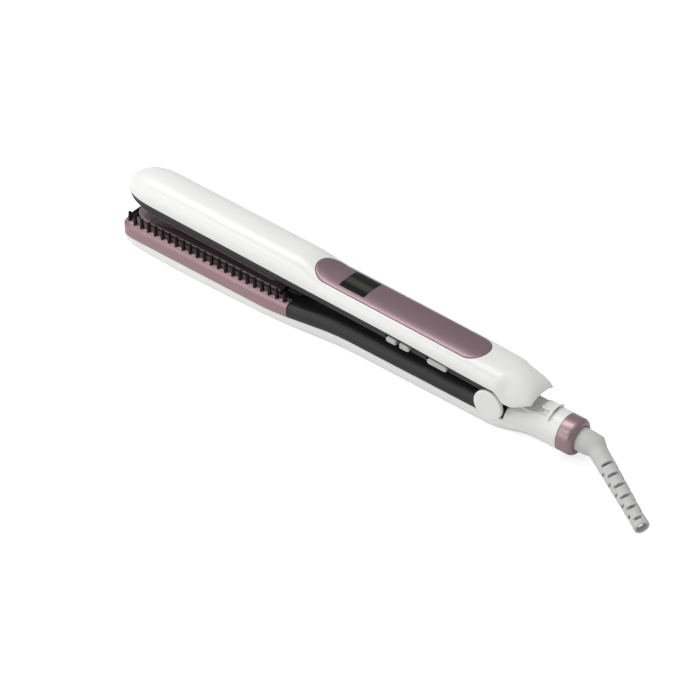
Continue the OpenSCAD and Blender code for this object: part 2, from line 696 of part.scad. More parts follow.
module upper_inner_cover() {
  color("#2b2b2b") upper() difference() {
    union() {
      sheet(cover_grid(0), cover_grid(cover_wall));
      for (x = cover_screws) translate([x, 0, cover_floor(x) + 0.4])
        cylinder(r = pad_r, h = pad_t - 0.4, $fn = fine);
      for (x = [-board_front + 4, -board_rear - 4]) mirrored_y()
        translate([x, board_w / 2 - 4.5, grip_skirt_h + 0.5])
          cylinder(r = 1.8, h = board_h - grip_skirt_h - 0.5, $fn = fine);
      mirrored_y() hinge_ear(upper_ear_out, ear_r - 0.4, grip_skirt_h + 1, 6);
    }
    along_y(0, -cap_out, 0) cylinder(r = pin_r + pin_gap, h = 2 * cap_out, $fn = fine);
    mirrored_y() along_y(0, upper_ear_out, 0) cylinder(r = cap_r + move_gap, h = cap_out, $fn = 2 * fine);
    mirrored_y() translate([1.5, upper_ear_out, 0]) cube([20, 10, 20]);
    for (x = cover_screws) translate([x, 0, cover_floor(x)]) mirror([0, 0, 1]) screw_hole();
    linear_extrude(upper_face_h + plate_t + carrier_t + float_travel + move_gap)
      obround(-upper_front - shelf_gap, shelf_gap - upper_plate_rear, plate_w + 2 * shelf_gap);
    translate([-ion_at, 0, 0]) cylinder(r = ion_r + seam, h = 12, $fn = fine);
    for (b = buttons) button_place(b[0]) translate([0, 0, -4]) linear_extrude(12)
      button_outline(b[1], b[2], b[3], 0.25);
  }
}

// Outlines of the buttons in their own plane: length, and which ends are round
module button_outline(length, round_a, round_b, grow = 0) {
  r = button_h / 2 + grow;
  l = length / 2 + grow;
  if (round_a) translate([r - l, 0]) circle(r = r, $fn = fine);
  if (round_b) translate([l - r, 0]) circle(r = r, $fn = fine);
  translate([round_a ? r - l : -l, -r]) square([2 * l - (round_a ? r : 0) - (round_b ? r : 0), 2 * r]);
}
// A button's own plane, with its z axis pointing out of the near side
module button_place(x) { translate([x, -cover_side, button_mid_h]) rotate([90, 0, 0]) children(); }
module button(b) {
  color("#c4c4c2") upper() button_place(b[0]) {
    translate([0, 0, -cover_wall - 0.5]) linear_extrude(button_proud + cover_wall + 0.5)
      button_outline(b[1], b[2], b[3]);
    translate([-b[1] / 2 - button_flange, -0.2, -cover_wall - 0.95])
      cube([b[1] + 2 * button_flange, 2.1, 0.7]);
    translate([0, 0, -switch_face + switch_gap])
      cylinder(r = 1, h = switch_face - switch_gap - cover_wall, $fn = fine);
  }
}
module power_button() { button(buttons[0]); }
module plus_button() { button(buttons[1]); }
module minus_button() { button(buttons[2]); }

module switch_board() {
  color("darkgreen") upper() {
    translate([-pair_at - pair_len - 3, -cover_side + switch_face + 1.2, button_mid_h - 1.1])
      cube([pair_at - power_at + pair_len + 6 + power_len / 2, 1, 3.4]);
    for (b = buttons) translate([b[0] - 2, -cover_side + switch_face, button_mid_h - 1])
      cube([4, 1.3, 2.8]);
  }
}
module main_board() {
  color("darkgreen") upper() translate([-board_front, -board_w / 2, board_h])
    cube([board_front - board_rear, board_w, board_t]);
}
module display_module() {
  color("#333333") upper() translate([-window_front - 1.5, -window_w / 2 - 1, board_h + board_t])
    cube([window_len + 3, window_w + 2, display_top_h - board_h - board_t]);
}

// The panel and its window follow the casing's crown
panel_rows = [for (x = upper_stations) if (x > -panel_front - 6 && x < 1) x];
function panel_grid(inset) = [for (x = panel_rows) let (n = upper_n(x), e = upper_edge(x),
  w = upper_w(x) - inset, t = upper_crown(x) - e - inset)
  [for (i = [-8:8]) let (y = i * (panel_w / 2 + 1.5) / 8)
    [x, y, e + t * pow(1 - pow(abs(y) / w, n), 1 / n)]]];
above = 2 * hinge_h + upper_dome_h;
module grip_panel() {
  color("#7d6a70") upper() difference() {
    union() {
      intersection() {
        sheet(panel_grid(0), panel_grid(panel_t));
        linear_extrude(above) panel_outline(-seam);
      }
      intersection() {
        sheet(panel_grid(panel_t - 0.2), panel_grid(wall + 0.2 + panel_flange_t));
        linear_extrude(above) panel_rim(-seam);
      }
      intersection() {
        sheet(panel_grid(wall + 0.2), panel_grid(wall + 0.2 + panel_flange_t));
        linear_extrude(above) panel_rim(1.2);
      }
    }
    translate([-window_front, -window_w / 2, 0]) cube([window_len, window_w, above]);
  }
}
module panel_outline(grow) { obround(-panel_front - grow, grow - panel_rear, panel_w + 2 * grow); }
module panel_rim(grow) {
  difference() {
    panel_outline(grow);
    panel_outline(-1.5);
  }
}
module display_window() {
  color("#0d0f0e") upper() intersection() {
    sheet(panel_grid(0), panel_grid(panel_t + 0.4));
    translate([-window_front + seam, seam - window_w / 2, 0])
      cube([window_len - 2 * seam, window_w - 2 * seam, above]);
  }
}

module upper_plate() {
  color("#4a3f45") upper() translate([0, 0, upper_face_h]) linear_extrude(plate_t)
    obround(-upper_front, -upper_plate_rear, plate_w);
}
module upper_plate_frame() {
  color("#2b2b2b") upper() difference() {
    translate([0, 0, upper_face_h + plate_t]) {
      linear_extrude(carrier_t) obround(-upper_front + 0.3, -upper_plate_rear - 0.3, plate_w - 0.6);
      for (x = [-upper_front - tab_reach, -upper_plate_rear - 4])
        translate([x, -2.5, cover_inside(x) + move_gap - upper_face_h - plate_t])
          cube([tab_reach + 4, 5, tab_t]);
    }
    heater_pocket(upper_heater_span);
  }
}
module upper_heater() {
  color("ivory") upper() translate([0, 0, upper_face_h + plate_t]) heater(upper_heater_span);
}
module upper_heater_clip() {
  color("silver") upper() translate([0, 0, upper_face_h + plate_t + heater_t]) mirror([0, 0, 1])
    heater_clip(upper_heater_span);
}
module temperature_sensor() {
  color("orange") upper()
    along_x(upper_heater_span[0] + 2, 0, upper_face_h + plate_t + heater_t + 0.9)
      cylinder(r = 0.9, h = clip_inset - 4, $fn = fine);
}
// A pair of springs between the carrier of the floating plate and the casing's posts
module spring_pair(x) {
  color("silver") upper() mirrored_y()
    translate([x, spring_off, upper_face_h + plate_t + carrier_t]) difference() {
      cylinder(r = 2, h = spring_top_h - upper_face_h - plate_t - carrier_t, $fn = fine);
      translate([0, 0, -1]) cylinder(r = 1.4, h = 20, $fn = fine);
    }
}
module front_plate_springs() { spring_pair(spring_at[0]); }
module rear_plate_springs() { spring_pair(spring_at[1]); }
module ion_generator() {
  color("#333333") upper() translate([-ion_at - 6.5, -6, cover_floor(-ion_at) + cover_wall + 2.2])
    cube([13, 12, 5]);
}
module ion_outlet() {
  color("#333333") upper() translate([-ion_at, 0, cover_floor(-ion_at)]) {
    difference() {
      cylinder(r = ion_r, h = cover_wall + 2, $fn = fine);
      translate([0, 0, -1]) cylinder(r = ion_r - 0.9, h = cover_wall + 2, $fn = fine);
    }
    translate([0, 0, 0.6]) cylinder(r1 = 0.2, r2 = 0.4, h = cover_wall + 1.2, $fn = 24);
  }
}
module upper_screws() {
  color("silver") upper() for (x = cover_screws) translate([x, 0, cover_floor(x)]) mirror([0, 0, 1]) screw();
}

module hinge_pin() {
  color("silver") lower() along_y(0, seam - lower_ear_out, 0)
    cylinder(r = pin_r, h = 2 * (lower_ear_out - seam), $fn = fine);
}
module hinge_cap(side) {
  color("white") lower() scale([1, side, 1]) along_y(0, lower_ear_out, 0) {
    cylinder(r = cap_r, h = cap_t - 0.4, $fn = 2 * fine);
    translate([0, 0, cap_t - 0.4]) cylinder(r1 = cap_r, r2 = cap_r - 0.5, h = 0.5, $fn = 2 * fine);
  }
}
module hinge_cap_near() { mirror([0, 1, 0]) hinge_cap(1); }
module hinge_cap_far() { hinge_cap(1); }
// A torsion spring round the pin with one leg in each arm
function coil(r, turns, pitch, wire, steps) = [for (i = [0:turns * steps])
  let (a = -90 + 360 * i / steps, y = pitch * (i / steps - turns / 2))
  [for (k = [0:5]) let (b = -60 * k, q = r + wire * cos(b)) [q * cos(a), y + wire * sin(b), q * sin(a)]]];
module opening_spring() {
  end_y = coil_pitch * coil_turns / 2;
  color("silver") lower() {
    swept(coil(coil_r, coil_turns, coil_pitch, coil_wire, 16));
    along_x(-coil_foot, -end_y, -coil_r) cylinder(r = coil_wire, h = coil_foot, $fn = 24);
    along_x(-cap_r + 0.6, end_y, coil_r) cylinder(r = coil_wire, h = cap_r - 0.6, $fn = 24);
  }
}

function tail_crown(x) = mix(2.5, tail_r - tail_drop, ease(x, 12, 26));
tail_stations = concat([tail_cover_front], even(tail_cover_front, 26, 6), [collar_at]);
module tail_cover() {
  color("white") lower() difference() {
    union() {
      sheet([for (x = tail_stations) tail_row(x, 0)], [for (x = tail_stations) tail_row(x, wall)]);
      translate([recess_front, -recess_w / 2 - 0.8, recess_h - wall])
        cube([recess_rear - recess_front, recess_w + 1.6, wall]);
    }
    translate([recess_front + 1, -recess_w / 2, recess_h])
      cube([recess_rear - recess_front - 1, recess_w, 10]);
  }
}
function tail_row(x, inset) =
  arch(x, lower_w(x) - inset, lower_part(x) + seam, tail_crown(x) - lower_part(x) - inset, 2, arc_steps);
module lock_slide() {
  color("white") lower() {
    translate([lip_at, 0, -tail_drop]) rotate([90, 0, 90]) linear_extrude(lip_t) difference() {
      circle(r = tail_r + lip_h, $fn = 2 * fine);
      circle(r = tail_r + move_gap, $fn = 2 * fine);
      translate([-20, -40 + tail_r * cos(lip_angle)]) square([40, 40]);
    }
    translate([slide_at, move_gap - recess_w / 2, recess_h + 0.2])
      cube([recess_rear - move_gap - slide_at, recess_w - 2 * move_gap, slide_t]);
    translate([foot_at, -hook_w / 2, recess_h + 0.3])
      cube([recess_rear - 0.6 - foot_at, hook_w, hook_h - recess_h]);
    translate([hook_at, -hook_w / 2, hook_h]) cube([lip_at + lip_t - hook_at, hook_w, hook_t]);
  }
}
module cord_collar() {
  color("#786068") lower() along_x(0, 0, -tail_drop) rotate_extrude($fn = 2 * fine) polygon([
    [swivel_r + move_gap, collar_at - spigot_len], [tail_r - wall - seam, collar_at - spigot_len],
    [tail_r - wall - seam, collar_at + seam], [tail_r, collar_at + seam],
    [tail_r, collar_at + collar_len - 2.9], [tail_r - 0.3, collar_at + collar_len - 2],
    [tail_r - 1.1, collar_at + collar_len - 1], [tail_r - 2.2, collar_at + collar_len - 0.3],
    [swivel_r + move_gap + 0.4, collar_at + collar_len],
    [swivel_r + move_gap, collar_at + collar_len - 0.4]]);
}
module swivel_bush() {
  color("gainsboro") lower() along_x(0, 0, -tail_drop) difference() {
    union() {
      translate([0, 0, collar_at - 15]) cylinder(r = bush_r, h = 15 - spigot_len - seam, $fn = fine);
      translate([0, 0, collar_at - spigot_len - 2])
        cylinder(r = tail_r - wall - move_gap, h = 1.6, $fn = fine);
    }
    cylinder(r = cord_bore_r, h = 2 * collar_at, $fn = fine);
  }
}
module contact_rings() {
  color("goldenrod") lower() along_x(0, 0, -tail_drop) for (x = ring_at) translate([0, 0, x - 1])
    difference() {
      cylinder(r = bush_r + 0.6, h = 2, $fn = fine);
      translate([0, 0, -1]) cylinder(r = bush_r, h = 4, $fn = fine);
    }
}
module contact_brushes() {
  color("goldenrod") lower() for (x = ring_at) translate([x - 0.5, -1.5, wall - tail_drop - tail_r + 0.25])
    cube([1, 3, tail_r - wall - bush_r - 0.6 - 0.1 - 0.25]);
}

// The cord's sleeve: along the tail's axis, then bent and tapered
function bent(b) = [cos(b), -sin(b) * sin(relief_turn_deg), -sin(b) * cos(relief_turn_deg)];
function inward(b) = [-sin(b), -cos(b) * sin(relief_turn_deg), -cos(b) * cos(relief_turn_deg)];
sideways = [0, cos(relief_turn_deg), -sin(relief_turn_deg)];
elbow = [collar_at + collar_len + swivel_reach, 0, -tail_drop];
function sleeve_r(z) = mix(relief_root_r, relief_end_r, z / relief_len);
module along_bend() {
  multmatrix([for (i = [0:2])
    [inward(relief_bend_deg)[i], sideways[i], bent(relief_bend_deg)[i], elbow[i]]]) children();
}
module strain_relief() {
  flange_at = relief_len - end_flange_t;
  shank = elbow[0] - collar_at + spigot_len;
  color("gainsboro") lower() difference() {
    union() {
      along_x(collar_at - spigot_len, 0, -tail_drop) cylinder(r = swivel_r, h = shank, $fn = fine);
      translate(elbow) sphere(r = swivel_r + 0.05, $fn = fine);
      along_bend() rotate_extrude($fn = fine) polygon([[0, 0], [swivel_r, 0], [sleeve_r(4), 4],
        [sleeve_r(flange_at), flange_at], [sleeve_r(flange_at) + 0.4, flange_at],
        [sleeve_r(relief_len) + 0.4, relief_len], [0, relief_len]]);
    }
    along_x(collar_at - spigot_len - 1, 0, -tail_drop)
      cylinder(r = cord_bore_r - 0.2, h = shank + 1, $fn = fine);
    translate(elbow) sphere(r = cord_bore_r + 0.5, $fn = fine);
    along_bend() {
      cylinder(r = cord_bore_r, h = relief_len + 1, $fn = fine);
      for (i = [0:slots - 1]) mirrored_y() translate([-slot_len / 2, cord_bore_r + 0.3,
        relief_len * (slot_start + slot_step * i)]) cube([slot_len, 20, slot_w]);
      for (i = [0:slots - 2]) rotate(90) mirrored_y() translate([-slot_len / 2, cord_bore_r + 0.3,
        relief_len * (slot_start + slot_step * (i + 0.5))]) cube([slot_len, 20, slot_w]);
    }
  }
}
module heater_leads() {
  color("firebrick") lower() mirrored_y() along_x(-comb_rear, 4, wall - hinge_h + lead_r + 0.25)
    cylinder(r = lead_r, h = comb_rear - coil_foot - 3, $fn = 24);
}

lower_shell();
comb_casing();
comb_near();
comb_far();
comb_tip();
lower_grip_cover();
lower_plate();
lower_plate_frame();
lower_heater();
lower_heater_clip();
thermal_fuse();
upper_shell();
upper_inner_cover();
upper_plate();
upper_plate_frame();
front_plate_springs();
rear_plate_springs();
upper_heater();
upper_heater_clip();
temperature_sensor();
grip_panel();
display_window();
display_module();
main_board();
switch_board();
power_button();
plus_button();
minus_button();
ion_generator();
ion_outlet();
hinge_pin();
hinge_cap_near();
hinge_cap_far();
opening_spring();
tail_cover();
lock_slide();
cord_collar();
swivel_bush();
contact_rings();
contact_brushes();
strain_relief();
lower_screws();
upper_screws();
heater_leads();
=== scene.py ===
"""Look of a hair straightening brush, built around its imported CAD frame.

The arms are drawn about the hinge axis in millimetres: X runs from the tip (-X) to the cord
(+X), -Y is the button side and +Z is up. Arm.place turns that drawing into the row frame in
metres. Each sub-assembly is a class that builds its meshes, dresses them and reports them.
"""

import logging
import math
from dataclasses import dataclass, field
from enum import Enum
from typing import Callable, Optional, Sequence

import bmesh
import bpy
from mathutils import Matrix, Vector


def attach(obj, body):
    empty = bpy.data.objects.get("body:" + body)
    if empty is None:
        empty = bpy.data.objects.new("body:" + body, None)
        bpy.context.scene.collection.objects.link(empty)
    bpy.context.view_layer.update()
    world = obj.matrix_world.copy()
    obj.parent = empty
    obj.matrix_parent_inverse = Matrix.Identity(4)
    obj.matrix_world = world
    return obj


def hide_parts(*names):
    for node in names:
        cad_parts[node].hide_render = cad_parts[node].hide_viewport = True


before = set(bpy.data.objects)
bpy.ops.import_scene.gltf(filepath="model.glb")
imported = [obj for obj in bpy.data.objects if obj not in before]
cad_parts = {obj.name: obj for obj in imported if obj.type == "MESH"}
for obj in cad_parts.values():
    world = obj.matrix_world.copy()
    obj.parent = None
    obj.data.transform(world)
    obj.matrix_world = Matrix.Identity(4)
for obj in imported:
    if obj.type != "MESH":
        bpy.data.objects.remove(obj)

log = logging.getLogger("straightening_brush")

Point = tuple[float, float, float]
Ring = list[Point]
Pair = tuple[float, float]
Flat = list[Pair]
Placing = Callable[[float, float, float], Point]
Piece = bpy.types.Object
Material = bpy.types.Material
Tree = bpy.types.NodeTree
Socket = bpy.types.NodeSocket

# The hinge axis in the row frame and the arms' opening at rest, in millimetres and degrees
REST_MID = 112.5
HINGE_H = 17.4
OPEN_DEG = 1.3

FRAME_GAP = 0.3
SCREW_WELL_R = 2.8
SHARPEST = 0.35
CUT_CREASE_DEG = 34.0
FINE_CREASE_DEG = 50.0

IMAGE_PX = 700
SENSOR_MM = 36.0
WHITE = (1.0, 1.0, 1.0, 1.0)


# Small functions for curves


def clamp01(t: float) -> float:
    """Returns t held between 0 and 1."""
    return max(0.0, min(1.0, t))


def ease(x: float, a: float, b: float) -> float:
    """Returns a smooth step from 0 at a to 1 at b."""
    t = clamp01((x - a) / (b - a))
    return t * t * (3 - 2 * t)


def mix(a: float, b: float, t: float) -> float:
    """Returns the value a share t of the way from a to b."""
    return a + (b - a) * t


def eased(x: float, value: float, *turns: tuple[float, Pair]) -> float:
    """Returns a value at x that is eased into each further value over that one's stretch of X."""
    for goal, (a, b) in turns:
        value = mix(value, goal, ease(x, a, b))
    return value


def powered(v: float, e: float) -> float:
    """Returns v to the power e with v's sign."""
    return math.copysign(abs(v) ** e, v)


def rounded(u: float, p: float) -> float:
    """Returns the height of a superellipse quarter of exponent p at u from 0 to 1."""
    return max(0.004, (1 - clamp01(u) ** p) ** (1 / p))


def quarter_drop(x: float, a: float, b: float) -> float:
    """Returns a quarter-circle fall from 0 at a to 1 at b."""
    return 1 - math.sqrt(1 - clamp01((x - a) / (b - a)) ** 2)


def stations(start: float, *legs: tuple[float, int]) -> list[float]:
    """Returns places after start in even steps over each leg, given as its end and its count."""
    out = []
    for end, count in legs:
        out += [mix(start, end, i / count) for i in range(1, count + 1)]
        start = end
    return out


def nose(count: int, p: float) -> list[Pair]:
    """Returns reach and width shares round a nose of exponent p, from its tip to its root."""
    turns = [math.pi / 2 * (i / count) ** 1.35 for i in range(count + 1)]
    return [(math.cos(a) ** (2 / p), max(0.004, math.sin(a) ** (2 / p))) for a in turns]


class Arm(Enum):
    """The two arms, each drawn about the hinge axis in millimetres."""

    LOWER = "lower"
    UPPER = "upper"

    def place(self, p: Sequence[float]) -> Vector:
        """Returns a point of this arm's drawing in the row frame, in metres."""
        a = math.radians(OPEN_DEG) if self is Arm.UPPER else 0.0
        x, y, z = p
        return Vector((REST_MID + x * math.cos(a) + z * math.sin(a), y,
                       HINGE_H - x * math.sin(a) + z * math.cos(a))) / 1000


@dataclass(frozen=True)
class ArmCurves:
    """The casings' widths, edges and crowns along X, in millimetres."""

    lower_reach: float = 245.0
    upper_reach: float = 248.0
    comb_half_w: float = 17.5
    upper_half_w: float = 13.5
    grip_half_w: float = 14.0
    lower_nose: float = 20.0
    upper_nose: float = 25.0
    lower_nose_p: float = 5.5
    upper_nose_p: float = 2.4
    frame_nose_p: float = 2.6
    wall: float = 1.5
    comb_part: float = 8.4
    grip_part: float = 5.4
    tail_drop: float = 4.9
    tail_r: float = 9.8
    belly_cut: float = 0.8
    upper_edge_h: float = 11.2
    edge_lap: float = 0.6
    upper_dome_h: float = 11.27
    grip_edge_h: float = 10.8
    grip_dome_h: float = 7.9
    hinge_edge_h: float = 9.9
    comb_rear: float = 127.0
    tail_front: float = 4.0
    tail_end: float = 37.6
    upper_rear: float = 22.0
    shelf_h: float = 0.3
    grip_crown_h: float = 2.2
    comb_to_grip: Pair = (-145.0, -88.0)
    grip_to_tail: Pair = (-2.0, 24.0)
    head_to_grip: Pair = (-128.0, -106.0)
    edge_rise: Pair = (-125.0, -70.0)
    edge_fall: Pair = (-60.0, -5.0)

    def lower_w(self, x: float) -> float:
        """Returns the lower arm's half width at x."""
        return eased(x, self.comb_half_w, (self.grip_half_w, self.comb_to_grip),
                     (self.tail_r, self.grip_to_tail))

    def lower_part(self, x: float) -> float:
        """Returns the height of the lower arm's parting line at x."""
        return -eased(x, self.comb_part, (self.grip_part, self.comb_to_grip),
                      (self.tail_drop, self.grip_to_tail))

    def lower_depth(self, x: float) -> float:
        """Returns the lower casing's depth below its parting line at x."""
        return mix(HINGE_H + self.belly_cut + self.lower_part(x), self.tail_r, ease(x, *self.grip_to_tail))

    def lower_n(self, x: float) -> float:
        """Returns the roundness exponent of the lower casing's section at x."""
        return eased(x, 2.7, (3.6, (-245, -205)), (2.7, (-195, -135)), (2.2, (-135, -80)),
                     (2.0, self.grip_to_tail))

    def upper_w(self, x: float) -> float:
        """Returns the upper arm's half width at x."""
        return mix(self.upper_half_w, self.upper_half_w - 7.6, self.rear_drop(x))

    def rear_drop(self, x: float) -> float:
        """Returns how far the upper arm has closed in behind the hinge at x, from 0 to 1."""
        return quarter_drop(x, self.tail_front, self.tail_front + 20)

    def upper_edge(self, x: float) -> float:
        """Returns the height of the upper casing's lower edge at x."""
        return (self.cover_rim(x, self.edge_lap) - 4.6 * ease(x, 2, 9)
                + 3.6 * ease(x, 12, self.upper_rear))

    def upper_crown(self, x: float) -> float:
        """Returns the height of the upper casing's crown at x."""
        c = mix(self.upper_edge_h + self.upper_dome_h, self.grip_edge_h + self.grip_dome_h,
                ease(x, *self.head_to_grip))
        return mix(c, 8.1, self.rear_drop(x))

    def upper_n(self, x: float) -> float:
        """Returns the roundness exponent of the upper casing's section at x."""
        return eased(x, 2.3, (2.6, self.head_to_grip), (2.2, (-20, 10)))

    def crown_at(self, x: float, y: float) -> float:
        """Returns the height of the upper casing's skin at x and y."""
        w, e, n = self.upper_w(x), self.upper_edge(x), self.upper_n(x)
        return e + (self.upper_crown(x) - e) * (1 - min(0.999, abs(y) / w) ** n) ** (1 / n)

    def cover_rim(self, x: float, lap: float = 0.0) -> float:
        """Returns the height of the inner cover's rim at x, or of an edge that laps it at the head."""
        return eased(x, self.upper_edge_h - lap, (self.grip_edge_h, self.edge_rise),
                     (self.hinge_edge_h, self.edge_fall))

    def cover_floor(self, x: float) -> float:
        """Returns the height of the inner cover's underside at x."""
        return mix(4.3, 5.2, ease(x, -131, -112))

    def grip_crown(self, x: float) -> float:
        """Returns the height of the lower grip cover's crown at x."""
        return mix(self.shelf_h - 0.5, self.grip_crown_h, ease(x, -125, -95))

    def tail_crown(self, x: float) -> float:
        """Returns the height of the tail cover's crown at x."""
        return mix(2.5, self.tail_r - self.tail_drop, ease(x, 12, 26))

    def comb_at(self, k: float, d: float, front: float, p: float) -> Pair:
        """Returns a point of the comb's path, 0 to 8 near side, to 24 round the nose, to 32 far.

        Args:
            k: place along the path.
            d: distance inside the casing's side.
            front: distance inside the casing's front.
            p: exponent of the nose.
        """
        bend = self.lower_nose - self.lower_reach
        if k <= 8:
            x = mix(-self.comb_rear, bend, k / 8)
            return x, d - self.lower_w(x)
        if k >= 24:
            x = mix(bend, -self.comb_rear, (k - 24) / 8)
            return x, self.lower_w(x) - d
        a = math.radians(-90 + 180 * (k - 8) / 16)
        return (bend - (self.lower_nose - front) * abs(math.cos(a)) ** (2 / p),
                (self.comb_half_w - d) * powered(math.sin(a), 2 / p))


CURVES = ArmCurves()


# Finishes


def srgb(code: str) -> tuple[float, float, float, float]:
    """Returns a hex colour as linear red, green, blue and alpha."""
    def channel(v: int) -> float:
        """Returns one channel as a linear value."""
        c = v / 255
        return c / 12.92 if c <= 0.04045 else ((c + 0.055) / 1.055) ** 2.4
    return tuple(channel(int(code[i:i + 2], 16)) for i in (1, 3, 5)) + (1.0,)


def clean_tree(owner: bpy.types.ID) -> Tree:
    """Returns the emptied node tree of a material or a world."""
    owner.use_nodes = True
    owner.node_tree.nodes.clear()
    return owner.node_tree


def add_node(tree: Tree, kind: str, settings: Optional[dict] = None,
             links: Optional[dict] = None) -> bpy.types.Node:
    """Adds a node with its settings and links.

    Args:
        tree: the node tree.
        kind: Blender's node type.
        settings: attributes by name, and socket values by the socket's name or number.
        links: output sockets by the name or number of the input that they feed.
    Returns:
        The new node.
    """
    made = tree.nodes.new(kind)
    for key, value in (settings or {}).items():
        if isinstance(key, int) or key in made.inputs.keys():
            made.inputs[key].default_value = value
        else:
            setattr(made, key, value)
    for key, source in (links or {}).items():
        tree.links.new(source, made.inputs[key])
    return made


@dataclass(frozen=True)
class Finish:
    """A surface: two close tints, a fine grain and the shader's plain values.

    grain_mm and cloud_mm are real sizes: the spacing of the surface's grain, and of the slow
    drift in its tint. A reflection tint and width paint a reflection: a soft-edged lighter band
    along the arm's middle that stands for the sheen of light on a curved glossy face.
    """

    name: str
    tint: str
    drift: str
    roughness: float
    roughness_drift: float = 0.04
    metallic: float = 0.0
    ior: float = 1.46
    coat: float = 0.0
    coat_roughness: float = 0.1
    sheen: float = 0.0
    specular: float = 0.5
    grain_mm: float = 0.6
    relief_mm: float = 0.004
    cloud_mm: float = 30.0
    stretch: Point = (1.0, 1.0, 1.0)
    painted_reflection_tint: str = ""
    painted_reflection_mm: float = 0.0

    def add_painted_reflection(self, tree: Tree, where: Socket, colour: Socket) -> Socket:
        """Returns the colour with a painted reflection: a soft-edged band of a lighter tint along the arm's
        middle.
        """
        split = add_node(tree, "ShaderNodeSeparateXYZ", links={"Vector": where})
        off = add_node(tree, "ShaderNodeMath", {"operation": "ABSOLUTE"}, {0: split.outputs["Y"]})
        share = add_node(tree, "ShaderNodeMapRange",
                         {"From Min": 0.5 * self.painted_reflection_mm / 1000, "From Max": 1.5 * self.painted_reflection_mm / 1000,
                          "To Min": 1.0, "To Max": 0.0, "interpolation_type": "SMOOTHSTEP"},
                         {"Value": off.outputs[0]})
        blend = add_node(tree, "ShaderNodeMix", {"data_type": "RGBA", 7: srgb(self.painted_reflection_tint)},
                         {"Factor": share.outputs["Result"], 6: colour})
        return blend.outputs[2]

    def build(self) -> Material:
        """Returns the finish as a node material."""
        material = bpy.data.materials.new(self.name)
        tree = clean_tree(material)
        where = add_node(tree, "ShaderNodeTexCoord").outputs["Object"]
        scaled = add_node(tree, "ShaderNodeMapping", {"Scale": self.stretch}, {"Vector": where})
        cloud = add_node(tree, "ShaderNodeTexNoise", {"Scale": 1000 / self.cloud_mm, "Detail": 2.0},
                         {"Vector": where})
        colour = add_node(tree, "ShaderNodeMix",
                          {"data_type": "RGBA", 6: srgb(self.tint), 7: srgb(self.drift)},
                          {"Factor": cloud.outputs["Fac"]}).outputs[2]
        # The lighter band mixed in here is a painted reflection.
        if self.painted_reflection_tint:
            colour = self.add_painted_reflection(tree, where, colour)
        grain = add_node(tree, "ShaderNodeTexNoise", {"Scale": 1000 / self.grain_mm, "Detail": 3.0},
                         {"Vector": scaled.outputs["Vector"]}).outputs["Fac"]
        gloss = add_node(tree, "ShaderNodeMapRange",
                         {"From Min": 0.3, "From Max": 0.7,
                          "To Min": max(0.02, self.roughness - self.roughness_drift),
                          "To Max": self.roughness + self.roughness_drift}, {"Value": grain})
        bump = add_node(tree, "ShaderNodeBump",
                        {"Strength": 1.0, "Distance": self.relief_mm / 1000}, {"Height": grain})
        shader = add_node(tree, "ShaderNodeBsdfPrincipled",
                          {"Metallic": self.metallic, "IOR": self.ior,
                           "Coat Weight": self.coat, "Coat Roughness": self.coat_roughness,
                           "Sheen Weight": self.sheen, "Specular IOR Level": self.specular},
                          {"Base Color": colour, "Roughness": gloss.outputs["Result"],
                           "Normal": bump.outputs["Normal"]})
        add_node(tree, "ShaderNodeOutputMaterial", links={"Surface": shader.outputs["BSDF"]})
        material.diffuse_color = srgb(self.tint)
        return material


